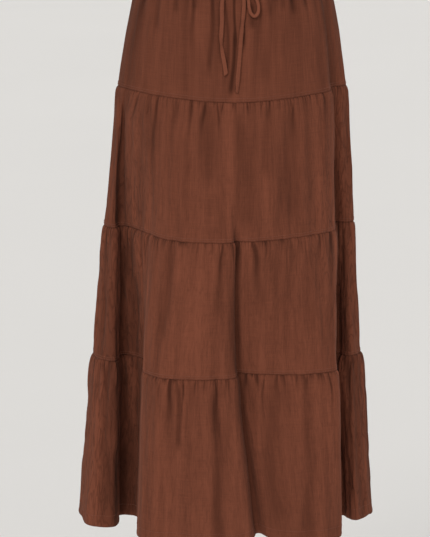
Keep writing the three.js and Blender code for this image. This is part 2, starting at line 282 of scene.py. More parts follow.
@dataclass(frozen=True)
class ClothFinish:
    """Matt crinkled plain weave. Its UV map holds metres across and along the grain.

    Each cell is the size of one pattern across and along the grain. The colour also carries painted shade and
    highlights in and on the folds, and painted light on slack cloth.
    """

    name: str
    colour: Triple
    pitch: float = 0.0011
    warp_cell: Pair = (0.0014, 0.045)
    weft_cell: Pair = (0.030, 0.0016)
    narrow_cell: Pair = (0.0052, 0.11)
    broad_cell: Pair = (0.019, 0.34)
    cloud_cell: Pair = (0.05, 0.09)
    crease_cell: Pair = (0.0080, 0.046)
    puff_cell: Pair = (0.0058, 0.017)
    uneven_cell: Pair = (0.0140, 0.030)
    tick_cell: Pair = (0.0078, 0.110)
    wrinkle_cell: Pair = (0.010, 0.055)
    slub: float = 0.46
    bands: float = 0.46
    clouds: float = 0.10
    crinkle: float = 0.0006
    # How strongly shade is painted in the crinkle's lines and in the gathers' ticks.
    crinkle_tone: float = 0.42
    gather_tone: float = 0.80
    # The colour of the mesh's painted shade.
    painted_shade_tone: float = 0.36
    darkest: float = 0.70
    lightest: float = 1.32
    # The colour of the shade painted in those lines and ticks.
    line_tone: float = 0.30
    # The colour of the painted highlights along crests.
    painted_highlight_tone: float = 1.75
    weave_height: float = 0.00004
    warp_height: float = 0.00018
    weft_height: float = 0.00006
    tick_height: float = 0.0005
    roughness: float = 0.93
    specular: float = 0.06
    sheen: float = 0.03
    sheen_roughness: float = 0.5
    sheen_tint: Triple = (1.0, 0.80, 0.66)

    def material(self) -> Material:
        """Build the cloth's material.

        Returns:
            The material.
        """
        tree = NodeTree(bpy.data.materials.new(self.name))
        grain = tree.node("ShaderNodeUVMap", {"uv_map": "grain"}, {}).outputs[0]
        warp = tree.noise(grain, self.warp_cell, 1.0)
        weft = tree.noise(grain, self.weft_cell, 1.0)
        narrow = tree.noise(grain, self.narrow_cell)
        broad = tree.noise(grain, self.broad_cell, 1.0)
        clouds = tree.noise(grain, self.cloud_cell)
        slack = tree.tone("slack")
        creases = tree.lines(grain, self.crease_cell, 15.0, 0.30) * slack
        puffs = (tree.noise(grain, self.puff_cell, 4.0, 0.9) - 0.5) * slack
        uneven = (tree.noise(grain, self.uneven_cell, 1.0) * 4.0 - 1.2).within(0.0, 1.6)
        ticks = tree.lines(grain, self.tick_cell, 13.0, 0.15) * tree.tone("gather") * uneven
        slubs = (warp - 0.5) * self.slub * 1.3 + (weft - 0.5) * self.slub * 0.9
        bands = (narrow - 0.5) * self.bands * 0.7 + (broad - 0.5) * self.bands * 1.5
        # Slubs, bands and clouds vary the tone at random; the puffs add painted shading of the crinkle, and
        # slack cloth is painted lighter in place of the light its crinkles catch.
        tone = 0.5 + slubs + bands + (clouds - 0.5) * self.clouds * 2.0 + puffs * 1.5 + slack * 0.60
        dark, light = toned(self.colour, self.darkest), toned(self.colour, self.lightest)
        cloth = tree.tinted(tone.within(0.0, 1.0), dark, light)
        # Painted shade in the crinkle's lines and in the ticks under the gathers.
        painted_line_shade = (creases * self.crinkle_tone + ticks * self.gather_tone).within(0.0, 0.8)
        shaded = tree.tinted(painted_line_shade, cloth, toned(self.colour, self.line_tone))
        # Painted shading from the mesh: shade toward a darker colour, and below zero a painted highlight
        # along crests.
        hollow = tree.tone("hollow")
        crest = toned(self.colour, self.painted_highlight_tone)
        crests = tree.tinted((0.0 - hollow).within(0.0, 1.0), shaded, crest)
        colour = tree.tinted(hollow.within(0.0, 1.0), crests, toned(self.colour, self.painted_shade_tone))
        rough = (self.roughness + (warp - 0.5) * 0.12 + (clouds - 0.5) * 0.1).within(0.7, 1.0)
        folds = (puffs * 3.4 - creases * 0.7) * self.crinkle - ticks * self.tick_height
        inputs = {
            "Base Color": colour,
            "Roughness": rough,
            "Specular IOR Level": self.specular,
            "Sheen Weight": self.sheen,
            "Sheen Roughness": self.sheen_roughness,
            "Sheen Tint": toned(self.sheen_tint, 1.0),
            "Normal": self._relief(tree, grain, warp, weft, folds),
        }
        return tree.finished(tree.node("ShaderNodeBsdfPrincipled", {}, inputs).outputs[0])

    def _relief(
        self, tree: NodeTree, grain: Socket, warp: Value, weft: Value, folds: Value
    ) -> Socket:
        """Add the weave's bump.

        Args:
            tree: The material's tree.
            grain: Coordinates across and along the grain.
            warp: Noise stretched along the grain.
            weft: Noise stretched across the grain.
            folds: The height of the crinkle and the small gathers.

        Returns:
            The bumped normal.
        """
        parts = tree.node("ShaderNodeSeparateXYZ", {}, {0: grain})
        turn = 2 * math.pi / self.pitch
        across = (Value(tree, parts.outputs[0]) * turn + (weft - 0.5) * 3.0).sine()
        along = (Value(tree, parts.outputs[1]) * turn + (warp - 0.5) * 3.0).sine()
        weave = across * along * self.weave_height
        wrinkles = tree.noise(grain, self.wrinkle_cell)
        height = folds + (wrinkles - 0.5) * self.crinkle * 2.4
        height = height + weave + (warp - 0.5) * self.warp_height + (weft - 0.5) * self.weft_height
        inputs = {"Strength": 1.0, "Distance": 1.0, "Height": height}
        return tree.node("ShaderNodeBump", {}, inputs).outputs[0]


@dataclass(frozen=True)
class ThreadFinish:
    """Twisted sewing thread, a shade lighter than the cloth."""

    name: str
    colour: Triple
    roughness: float = 0.6

    def material(self) -> Material:
        """Build the thread's material.

        Returns:
            The material.
        """
        tree = NodeTree(bpy.data.materials.new(self.name))
        place = tree.node("ShaderNodeTexCoord", {}, {}).outputs["Object"]
        tone = tree.value("ShaderNodeTexNoise", {}, {"Vector": place, "Scale": 900.0, "Detail": 1.0}, "Fac")
        colour = tree.tinted(tone.within(0.0, 1.0), toned(self.colour, 0.75), toned(self.colour, 1.3))
        inputs = {
            "Base Color": colour,
            "Roughness": (self.roughness + (tone - 0.5) * 0.2).within(0.3, 1.0),
            "Normal": tree.node("ShaderNodeBump", {}, {"Distance": 0.0001, "Height": tone}).outputs[0],
        }
        return tree.finished(tree.node("ShaderNodeBsdfPrincipled", {}, inputs).outputs[0])


@dataclass(frozen=True)
class FloorFinish:
    """Pale matt studio floor, faintly mottled."""

    name: str
    colour: Triple

    def material(self) -> Material:
        """Build the floor's material.

        Returns:
            The material.
        """
        tree = NodeTree(bpy.data.materials.new(self.name))
        place = tree.node("ShaderNodeTexCoord", {}, {}).outputs["Object"]
        tone = tree.value("ShaderNodeTexNoise", {}, {"Vector": place, "Scale": 0.7, "Detail": 2.0}, "Fac")
        colour = tree.tinted(tone.within(0.0, 1.0), toned(self.colour, 0.985), toned(self.colour, 1.015))
        inputs = {"Base Color": colour, "Roughness": 0.95, "Specular IOR Level": 0.1}
        return tree.finished(tree.node("ShaderNodeBsdfPrincipled", {}, inputs).outputs[0])


# Meshes


def eased(share: Array) -> Array:
    """Return shares from 0 to 1 with a soft start and a soft end."""
    return share * share * (3 - 2 * share)


def bell(distance: Array, width: float | Array) -> Array:
    """Return 1 at no distance, falling off on both sides like a bell."""
    return np.exp(-((distance / width) ** 2))


def faded(distance: Array, reach: float) -> Array:
    """Return 1 at no distance, fading out over a reach."""
    return np.exp(-distance / reach)


def turns(count: int, shift: float = 0.0) -> Array:
    """Return angles spaced evenly round a circle, in radians."""
    return (np.arange(count) + shift) / count * 2 * math.pi


def rounded(wave: Array, power: float) -> Array:
    """Return a sine or cosine raised to a power, with its sign kept, which squares a circle up."""
    return np.sign(wave) * np.abs(wave) ** power


def run_along(points: Array) -> Array:
    """Return how far along a line of points each of them lies."""
    return np.concatenate([[0.0], np.cumsum(np.linalg.norm(np.diff(points, axis=0), axis=1))])


def sampled(at: Array, run: Array, line: Array) -> Array:
    """Read a line's x, y and z at some distances along it.

    Args:
        at: The distances.
        run: How far along each of the line's rows lies.
        line: The rows.

    Returns:
        One row for each distance.
    """
    return np.stack([np.interp(at, run, line[:, axis]) for axis in range(3)], axis=1)


def spline(corners: Sequence[Array], share: Array) -> tuple[Array, Array]:
    """Follow a smooth line between two points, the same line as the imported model's.

    Args:
        corners: The points before, at the start, at the end and after.
        share: How far along the line lies, from 0 at the start to 1 at the end.

    Returns:
        The points, and the directions there, which aren't one long.
    """
    p0, p1, p2, p3 = corners
    steps = (p1 - p0, p2 - p1, p3 - p2)
    d0, d1, d2 = (np.sqrt(np.linalg.norm(step, axis=-1, keepdims=True)) for step in steps)
    t1 = ((p1 - p0) / d0 - (p2 - p0) / (d0 + d1) + (p2 - p1) / d1) * d1
    t2 = ((p2 - p1) / d1 - (p3 - p1) / (d1 + d2) + (p3 - p2) / d2) * d1
    square = -3 * p1 + 3 * p2 - 2 * t1 - t2
    cube = 2 * p1 - 2 * p2 + t1 + t2
    points = p1 + t1 * share + square * share**2 + cube * share**3
    return points, t1 + 2 * square * share + 3 * cube * share**2


def soft_noise(u: Array, v: Array, cell: Pair, seed: int) -> Array:
    """Smooth seeded noise over a plane, about -1 to 1.

    Args:
        u: Places across, in metres.
        v: Places along, in metres, of the same shape.
        cell: The noise's size across and along.
        seed: The noise's own seed.

    Returns:
        The noise at each place.
    """
    count = 256
    table = np.random.default_rng(seed).uniform(-1.0, 1.0, (count, count))
    s = u / cell[0] + 64.0
    t = v / cell[1] + 64.0
    i = np.floor(s).astype(int)
    j = np.floor(t).astype(int)
    a = eased(s - i)
    b = eased(t - j)
    i0, i1 = i % count, (i + 1) % count
    j0, j1 = j % count, (j + 1) % count
    low = table[i0, j0] * (1 - a) + table[i1, j0] * a
    high = table[i0, j1] * (1 - a) + table[i1, j1] * a
    return low * (1 - b) + high * b


def noise_along(u: Array, cell: float, seed: int) -> Array:
    """Return smooth seeded noise along one line, about -1 to 1."""
    return soft_noise(u, np.zeros_like(u), (cell, 1.0), seed)


def graded(length: float, first: float, most: float, growth: float) -> Array:
    """Places from 0 to length, close together at both ends.

    Args:
        length: The whole distance.
        first: The step at each end.
        most: The largest step.
        growth: How much each step grows on the last.

    Returns:
        The places in order.
    """
    half = [0.0]
    step = first
    while half[-1] + step < length / 2:
        half.append(half[-1] + step)
        step = min(most, step * growth)
    near = np.array(half)
    middle = length - near[-1] - near[-1]
    inner = np.linspace(near[-1], length - near[-1], max(2, round(middle / most) + 1))
    return np.concatenate([near, inner[1:-1], (length - near)[::-1]])


def placed(name: str, data: bpy.types.ID) -> Object:
    """Make an object and put it in the scene.

    Args:
        name: Its name.
        data: Its mesh, light or camera.

    Returns:
        The object.
    """
    made = bpy.data.objects.new(name, data)
    bpy.context.scene.collection.objects.link(made)
    return made


# The first tone is shade painted into the colour, and below zero a painted highlight.
TONES = ("hollow", "slack", "gather")


@dataclass
class MeshPiece:
    """Points and faces of one piece, gathered before its object is made.

    Its tones say how much shade is painted at a point, a highlight where below zero, and, each 0 to 1, how
    slack and crinkled the cloth is there and how strongly it is gathered into a seam.
    """

    name: str
    points: list[Array] = field(default_factory=list)
    faces: list[Array] = field(default_factory=list)
    grain: list[Array] = field(default_factory=list)
    tones: dict[str, list[Array]] = field(default_factory=lambda: {tone: [] for tone in TONES})
    count: int = 0

    def add(
        self, points: Array, faces: Sequence[Array], grain: Array, **tones: Array
    ) -> None:
        """Add a patch of points and faces.

        Args:
            points: A grid or list of x, y, z.
            faces: Arrays of corner numbers, each with one number of corners.
            grain: A u, v pair for each point, in metres.
            tones: Tones at each point, 0 where none is given.
        """
        listed = points.reshape(-1, 3)
        self.points.append(listed)
        self.faces.extend(block + self.count for block in faces)
        self.grain.append(grain.reshape(-1, 2))
        for tone, stored in self.tones.items():
            stored.append(np.ravel(tones.get(tone, np.zeros(len(listed)))))
        self.count += len(listed)

    def build(self, material: Material, slot: Slot, *nodes: str) -> Object:
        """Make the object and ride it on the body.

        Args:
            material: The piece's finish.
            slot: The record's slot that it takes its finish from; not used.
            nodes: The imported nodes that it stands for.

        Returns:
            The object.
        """
        mesh = bpy.data.meshes.new(self.name)
        points = np.concatenate(self.points)
        corners = np.concatenate([block.ravel() for block in self.faces])
        sizes = np.concatenate([np.full(len(block), block.shape[1]) for block in self.faces])
        mesh.vertices.add(len(points))
        mesh.vertices.foreach_set("co", points.astype(np.float32).ravel())
        mesh.loops.add(len(corners))
        mesh.loops.foreach_set("vertex_index", corners.astype(np.int32))
        mesh.polygons.add(len(sizes))
        mesh.polygons.foreach_set("loop_start", (np.cumsum(sizes) - sizes).astype(np.int32))
        mesh.update(calc_edges=True)
        mesh.validate()
        mesh.polygons.foreach_set("use_smooth", np.ones(len(mesh.polygons), dtype=bool))
        layer = mesh.uv_layers.new(name="grain")
        grain = np.concatenate(self.grain)[corners]
        layer.uv.foreach_set("vector", grain.astype(np.float32).ravel())
        for tone, stored in self.tones.items():
            carried = mesh.attributes.new(tone, "FLOAT", "POINT")
            carried.data.foreach_set("value", np.concatenate(stored).astype(np.float32))
        mesh.materials.append(material)
        piece = placed(self.name, mesh)
        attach(piece, BODY)
        if nodes:
            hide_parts(*nodes)
        log.info("%s: %d points, %d faces", self.name, len(points), len(sizes))
        return piece


def grid_faces(
    rows: int, columns: int, around_rows: bool = False, around_columns: bool = False
) -> Array:
    """Corner numbers of a grid's quads.

    Args:
        rows: How many rows of points there are.
        columns: How many points each row has.
        around_rows: Whether the last row joins the first.
        around_columns: Whether the last column joins the first.

    Returns:
        One row of four corners for each quad.
    """
    r = np.arange(rows if around_rows else rows - 1)
    c = np.arange(columns if around_columns else columns - 1)
    r0, c0 = np.meshgrid(r, c, indexing="ij")
    r1 = (r0 + 1) % rows
    c1 = (c0 + 1) % columns
    corners = [r0 * columns + c0, r1 * columns + c0, r1 * columns + c1, r0 * columns + c1]
    return np.stack([corner.ravel() for corner in corners], axis=1)


def tube_faces(rows: int, columns: int) -> list[Array]:
    """Corner numbers of a closed tube: its quads, and one face at each end.

    Args:
        rows: How many rings the tube has.
        columns: How many points each ring has.

    Returns:
        The quads and the two ends.
    """
    first = np.arange(columns)[::-1]
    last = (rows - 1) * columns + np.arange(columns)
    return [grid_faces(rows, columns, around_columns=True), np.array([first, last])]


# The skirt's form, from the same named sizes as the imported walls


@dataclass(frozen=True)
class Plan:
    """Plan of the skirt at one height, measured from a side line `side` behind the origin."""

    name: str
    z: float
    back: float
    side: float
    power: float
    dip: float
    left: float = 0.0
    right: float = 0.0
    front: float = 0.0
    swell: float = 0.0

    def at(self, turn: float, out: float) -> Pair:
        """Return the point at `turn` degrees from the front, +X first.

        Args:
            turn: The angle.
            out: The share of the plan's swell by which the point stands out.

        Returns:
            The point's x and y.
        """
        across = math.sin(math.radians(turn))
        along = -math.cos(math.radians(turn))
        half = self.left if across < 0 else self.right
        deep = self.front if along < 0 else self.back
        x = half * math.copysign(abs(across) ** (2 / self.power), across)
        y = self.side + deep * math.copysign(abs(along) ** (2 / self.power), along)
        stretch = 1 + self.swell * out / math.hypot(x, y)
        return x * stretch, y * stretch


@dataclass(frozen=True)
class Fold:
    """A crest or trough of the skirt, followed down from the waist to the hem.

    `own` holds its x and y at the heights where it leaves the fitted plan.
    """

    name: str
    turn: float
    out: float = 0.0
    own: dict[str, Pair] = field(default_factory=dict)


def draped(name: str, turn: float, thigh: Pair, knee: Pair, hem: Pair, **fitted: Pair) -> Fold:
    """Make a fold of the front.

    Args:
        name: Its name.
        turn: Its place on the fitted plan, in degrees from the front.
        thigh: Its x and y at the thigh.
        knee: Its x and y at the knee.
        hem: Its x and y at the hem.
        fitted: Its x and y at heights above the thigh, where it has its own there too.

    Returns:
        The fold.
    """
    own = {height.replace("_", " "): spot for height, spot in fitted.items()}
    return Fold(name, turn, 0.0, {**own, "thigh": thigh, "knee": knee, "hem": hem})


@dataclass(frozen=True)
class SkirtForm:
    """The tube-like form that every panel follows: a closed plan at each height."""

    levels: tuple[Plan, ...] = (
        Plan("band", -0.020, 0.106, 0.0, 2.0, 0.0, 0.145, 0.145, 0.109),
        Plan("high hip", -0.061, 0.112, 0.004, 1.9, 0.002, 0.160, 0.162, 0.119),
        Plan("first seam", -0.199, 0.116, 0.009, 1.65, 0.010, 0.1855, 0.1845, 0.134),
        Plan("upper thigh", -0.250, 0.117, 0.011, 1.7, 0.008, 0.190, 0.1875, 0.138),
        Plan("thigh", -0.429, 0.112, 0.030, 1.9, 0.003, 0.207, 0.200, 0.0, 0.006),
        Plan("knee", -0.650, 0.128, 0.030, 1.95, 0.0, 0.226, 0.212, 0.0, 0.012),
        Plan("hem", -0.925, 0.142, 0.027, 2.0, -0.002, 0.250, 0.233, 0.0, 0.020),
    )
    front: tuple[Fold, ...] = (
        draped("left side seam", -92, (-0.207, 0.006), (-0.226, 0.012), (-0.250, 0.010)),
        draped("left flare", -83, (-0.200, -0.012), (-0.214, -0.010), (-0.234, -0.034)),
        draped(
            "left flare edge", -75, (-0.190, -0.018), (-0.192, -0.022), (-0.194, -0.042),
            upper_thigh=(-0.184, -0.016),
        ),
        draped(
            "left valley", -68, (-0.180, 0.000), (-0.181, 0.022), (-0.183, 0.018),
            upper_thigh=(-0.175, -0.013),
        ),
        draped(
            "left recess", -61, (-0.168, -0.008), (-0.163, 0.017), (-0.166, 0.020),
            upper_thigh=(-0.165, -0.029),
        ),
        draped(
            "left return", -53, (-0.149, -0.036), (-0.139, -0.022), (-0.146, -0.026),
            upper_thigh=(-0.149, -0.055),
        ),
        draped("left front edge", -45, (-0.131, -0.070), (-0.142, -0.099), (-0.154, -0.098)),
        draped("left shoulder", -36, (-0.106, -0.105), (-0.119, -0.135), (-0.134, -0.132)),
        draped("left thigh", -20, (-0.058, -0.129), (-0.074, -0.151), (-0.080, -0.149)),
        draped("inner crest", -5, (-0.002, -0.131), (0.002, -0.141), (0.028, -0.151)),
        draped("centre fold", 4, (0.007, -0.120), (0.010, -0.105), (0.043, -0.121)),
        draped("centre rise", 12, (0.032, -0.121), (0.034, -0.111), (0.063, -0.136)),
        draped("right thigh", 28, (0.086, -0.100), (0.092, -0.116), (0.116, -0.139)),
        draped("right shoulder", 44, (0.134, -0.068), (0.144, -0.104), (0.156, -0.124)),
        draped(
            "right ridge", 54, (0.163, -0.038), (0.168, -0.086), (0.177, -0.098),
            high_hip=(0.138, -0.056), first_seam=(0.1555, -0.048), upper_thigh=(0.1575, -0.047),
        ),
        draped(
            "right return", 62, (0.166, 0.002), (0.162, -0.038), (0.168, -0.052),
            high_hip=(0.143, -0.042), first_seam=(0.156, -0.022), upper_thigh=(0.157, -0.014),
        ),
        draped(
            "right valley", 70, (0.172, 0.040), (0.175, 0.036), (0.183, 0.018),
            high_hip=(0.151, -0.029), first_seam=(0.164, -0.007), upper_thigh=(0.164, 0.004),
        ),
        draped(
            "right flare", 79, (0.186, 0.036), (0.191, 0.018), (0.204, -0.008),
            high_hip=(0.159, -0.012), first_seam=(0.177, 0.002), upper_thigh=(0.179, 0.012),
        ),
        draped(
            "right side seam", 92, (0.200, 0.044), (0.212, 0.038), (0.233, 0.032),
            upper_thigh=(0.188, 0.019),
        ),
    )
    rear: tuple[Fold, ...] = (
        Fold("right back crest", 106, 0.5),
        Fold("right back trough", 120, -1.0),
        Fold("right inner crest", 136, 0.8),
        Fold("right inner trough", 151, -0.9),
        Fold("back crest", 169, 1.0),
        Fold("back trough", 186, -1.1),
        Fold("left inner crest", 203, 0.9),
        Fold("left inner trough", 218, -0.8),
        Fold("left middle crest", 232, 0.6),
        Fold("left back trough", 244, -0.7),
        Fold("left back crest", 256, 0.5),
    )
    dip_depth: float = 0.120
    samples: int = 4001

    @property
    def count(self) -> int:
        """Return how many crests and troughs go round the skirt."""
        return len(self.front) + len(self.rear)

    def span(self, side: Side) -> Pair:
        """Return the places of a half's two side seams, counted in folds."""
        right_seam = float(len(self.front) - 1)
        return (0.0, right_seam) if side is Side.FRONT else (right_seam, float(self.count))

    def _weights(self, z: Array) -> Array:
        """Shares of the levels at each height, for a smooth line through the levels' values.

        Args:
            z: The heights.

        Returns:
            One row of shares for each height.
        """
        heights = np.array([level.z for level in self.levels])
        last = len(heights) - 1
        held = np.clip(z, heights[-1], heights[0])
        spot = np.clip(np.searchsorted(-heights, -held, side="right") - 1, 0, last - 1)
        slopes = np.zeros((last + 1, last + 1))
        for k in range(last + 1):
            a = max(0, k - 1)
            b = min(last, k + 1)
            slopes[k, b] += 1 / (heights[b] - heights[a])
            slopes[k, a] -= 1 / (heights[b] - heights[a])
        span = heights[spot + 1] - heights[spot]
        t = (held - heights[spot]) / span
        values = np.eye(last + 1)
        start = values[spot] * ((1 + 2 * t) * (1 - t) ** 2)[:, None]
        start = start + slopes[spot] * (span * t * (1 - t) ** 2)[:, None]
        end = values[spot + 1] * (t * t * (3 - 2 * t))[:, None]
        end = end + slopes[spot + 1] * (span * t * t * (t - 1))[:, None]
        return start + end

    def _folds_at(self, z: Array) -> Array:
        """Find all crests and troughs at each height.

        Args:
            z: The heights.

        Returns:
            Their places, as rows, folds, x and y.
        """
        places = []
        for fold in self.front + self.rear:
            row = [fold.own.get(level.name) or level.at(fold.turn, fold.out) for level in self.levels]
            places.append(row)
        return np.einsum("zl,fla->zfa", self._weights(z), np.array(places))

    def wall(self, z: Array, q: Array) -> tuple[Array, Array, Array]:
        """Points of the form.

        Args:
            z: The rows' heights.
            q: The columns' places, counted in folds.

        Returns:
            The points, the outward directions and the directions along the plan, each as rows,
            columns and x, y, z.
        """
        folds = self._folds_at(z)
        first = np.floor(q).astype(int)
        corners = [folds[:, (first + k) % self.count] for k in (-1, 0, 1, 2)]
        plan, along = spline(corners, (q - first)[None, :, None])
        along = along / np.linalg.norm(along, axis=2, keepdims=True)
        level = np.zeros(plan.shape[:2])
        out = np.stack([along[..., 1], -along[..., 0], level], axis=2)
        dips = self._weights(z) @ np.array([plan_level.dip for plan_level in self.levels])
        ahead = np.clip(-plan[..., 1] / self.dip_depth, 0.0, 1.0)
        sunk = z[:, None] - dips[:, None] * ahead**2
        points = np.concatenate([plan, sunk[..., None]], axis=2)
        return points, out, np.concatenate([along, level[..., None]], axis=2)

    def run(self, z: float, q: Array) -> Array:
        """Return the distance along the plan at height z to each place in q."""
        points, _, _ = self.wall(np.array([z]), q)
        return run_along(points[0])

    def even(self, z: float, side: Side, step: float) -> Array:
        """Space places evenly along one half of the plan.

        Args:
            z: The plan's height.
            side: The half.
            step: How far apart they are.

        Returns:
            An odd number of places, counted in folds.
        """
        dense = np.linspace(*self.span(side), self.samples)
        run = self.run(z, dense)
        count = 2 * round(run[-1] / step / 2) + 1
        return np.interp(np.linspace(0.0, run[-1], count), run, dense)


@dataclass(frozen=True)
class Crease:
    """A soft trough, or below zero a ridge, that was placed on one half of the skirt."""

    side: Side
    top: Pair
    foot: Pair
    width: float
    depth: float
    # The shade painted in a trough at its middle; a ridge gets none.
    shade: float = 0.22
    facing_depth: float = 0.03

    def relief(self, side: Side, points: Array) -> tuple[Array, Array]:
        """How far the crease moves each point out, and the shade painted there.

        Args:
            side: The half that the points are on.
            points: Points of the form.

        Returns:
            The move and the painted shade at each point.
        """
        x, y, z = points[..., 0], points[..., 1], points[..., 2]
        if side is not self.side:
            return 0 * x, 0 * x
        down = (self.top[1] - z) / (self.top[1] - self.foot[1])
        line = self.top[0] + (self.foot[0] - self.top[0]) * down
        line = line + 0.0025 * np.sin(z * 37.0 + self.top[0] * 50.0)
        ends = eased(np.clip(np.minimum(down, 1 - down) * 5.0, 0.0, 1.0))
        toward = -y if side is Side.FRONT else y
        facing = np.clip(toward / self.facing_depth - 1, 0.0, 1.0)
        spread = self.width * (0.7 + 0.6 * np.clip(down, 0.0, 1.0))
        share = ends * facing * bell(x - line, spread)
        return -self.depth * share, self.shade * share if self.depth > 0 else 0 * share


# Each row: top, foot, width, depth and, where given, the shade painted in the trough.
FRONT_CREASES = (
    ((-0.0335, -0.020), (-0.0355, -0.175), 0.0030, 0.0022, 0.52),
    ((-0.092, -0.012), (-0.088, -0.075), 0.004, 0.0026, 0.46),
    ((-0.062, -0.012), (-0.060, -0.070), 0.004, 0.0024, 0.42),
    ((-0.118, -0.012), (-0.120, -0.110), 0.005, 0.0018),
    # The next four troughs, by the tie's tails, carry painted shade that stands for the tails' shadows.
    ((-0.0118, -0.028), (-0.0085, -0.176), 0.0026, 0.0020, 0.55),
    ((0.0056, -0.012), (0.0026, -0.128), 0.0018, 0.0018, 1.00),
    ((0.0016, -0.092), (-0.0020, -0.207), 0.0033, 0.0026, 1.00),
    ((0.0245, -0.008), (0.0150, -0.132), 0.0026, 0.0020, 1.00),
    ((-0.0265, -0.015), (-0.0280, -0.185), 0.0040, -0.0018),
    # A shallow trough whose painted shade stands for the shadow under the tie's right loop.
    ((0.0310, -0.052), (0.0335, -0.096), 0.0050, 0.0012, 0.60),
    ((0.062, -0.012), (0.060, -0.080), 0.004, 0.0018),
    ((0.078, -0.012), (0.077, -0.070), 0.004, 0.0024, 0.40),
    ((0.094, -0.012), (0.096, -0.078), 0.004, 0.0026, 0.44),
    ((0.113, -0.012), (0.116, -0.068), 0.004, 0.0022, 0.36),
    ((0.040, -0.050), (0.052, -0.190), 0.012, 0.0016),
    ((-0.074, -0.060), (-0.080, -0.190), 0.014, -0.0014),
    ((-0.039, -0.200), (-0.036, -0.350), 0.008, 0.0032, 0.30),
    ((0.0115, -0.215), (0.0265, -0.432), 0.014, 0.0050, 0.34),
    ((0.054, -0.200), (0.055, -0.340), 0.006, 0.0022, 0.30),
    ((0.087, -0.200), (0.094, -0.420), 0.009, 0.0030, 0.24),
    ((-0.084, -0.230), (-0.092, -0.400), 0.012, -0.0024),
    ((-0.128, -0.210), (-0.136, -0.300), 0.007, 0.0024),
    ((-0.103, -0.430), (-0.110, -0.600), 0.007, 0.0028, 0.30),
    ((-0.052, -0.440), (-0.058, -0.640), 0.014, -0.0024),
    ((-0.020, -0.436), (-0.024, -0.560), 0.008, 0.0020),
    ((0.066, -0.434), (0.092, -0.645), 0.016, 0.0036, 0.22),
    ((0.117, -0.440), (0.124, -0.600), 0.009, 0.0020),
    ((-0.0885, -0.645), (-0.0845, -0.775), 0.004, 0.0034, 0.55),
    ((-0.0248, -0.630), (-0.0215, -0.990), 0.007, 0.0044, 0.38),
    ((-0.066, -0.700), (-0.070, -0.930), 0.013, -0.0026),
    ((0.056, -0.650), (0.068, -0.930), 0.013, 0.0040, 0.34),
    ((0.122, -0.640), (0.128, -0.960), 0.009, 0.0030, 0.32),
    ((0.080, -0.620), (0.088, -0.990), 0.034, 0.0030, 0.20),
)
BACK_CREASES = (
    ((-0.060, -0.024), (-0.068, -0.170), 0.006, 0.0024),
    ((0.030, -0.024), (0.034, -0.160), 0.006, 0.0024),
    ((0.078, -0.020), (0.082, -0.110), 0.005, 0.0022),
    ((-0.020, -0.206), (-0.030, -0.400), 0.010, 0.0036),
    ((0.064, -0.210), (0.072, -0.410), 0.011, 0.0034),
    ((-0.095, -0.210), (-0.104, -0.380), 0.010, 0.0032),
    ((0.015, -0.436), (0.022, -0.640), 0.012, 0.0040),
    ((-0.072, -0.434), (-0.082, -0.630), 0.011, 0.0036),
    ((0.108, -0.436), (0.118, -0.630), 0.011, 0.0036),
    ((-0.040, -0.655), (-0.046, -0.925), 0.012, 0.0050),
    ((0.052, -0.655), (0.060, -0.920), 0.012, 0.0048),
    ((-0.125, -0.660), (-0.136, -0.915), 0.013, 0.0044),
)
CREASES = tuple(Crease(Side.FRONT, *row) for row in FRONT_CREASES)
CREASES += tuple(Crease(Side.BACK, *row) for row in BACK_CREASES)


@dataclass(frozen=True)
class Cleft:
    """The sharp line of a main fold, which stays with it: a trough with painted shade, or a crest with a
    painted highlight.

    A shade below zero is a painted highlight.
    """

    fold: float
    width: float
    heights: tuple[float, ...]
    depths: tuple[float, ...]
    shades: tuple[float, ...]
    left: float = 0.016
    right: float = 0.016
    opening: tuple[float, ...] = (1.0, 1.0, 1.0, 1.0)

    def relief(self, z: Array, q: Array, u: Array) -> tuple[Array, Array]:
        """How far the cleft moves each point out, and the shade painted there.

        Args:
            z: The rows' heights, falling.
            q: The columns' places, counted in folds.
            u: The columns' places across the grain.

        Returns:
            The move and the painted shade, a highlight where below zero, at each row and column.
        """
        if not q[0] < self.fold < q[-1]:
            none = np.zeros((len(z), len(q)))
            return none, none
        aside = u - float(np.interp(self.fold, q, u))
        drops = [-height for height in self.heights]
        given = (self.depths, self.shades, self.opening)
        deep, shade, opened = (np.interp(-z, drops, values)[:, None] for values in given)
        reach = np.where(aside < 0.0, self.left, self.right)[None, :] * opened
        return -deep * bell(aside, self.width)[None, :], shade * bell(aside[None, :], reach)


LOOSE = (-0.30, -0.43, -0.65, -0.93)
FLARED = (-0.20, -0.43, -0.65, -0.93)
RECESSED = (-0.40, -0.431, -0.65, -0.93)
RIDGED = (-0.10, -0.24, -0.43, -0.93)
LEVEL = (0.0, 0.0, 0.0, 0.0)
BACK_DEPTHS = (0.0, 0.0010, 0.0030, 0.0040)
BACK_SHADES = ((0.28, 0.30), (0.26, 0.30), (0.28, 0.30), (0.28, 0.30), (0.26, 0.28))
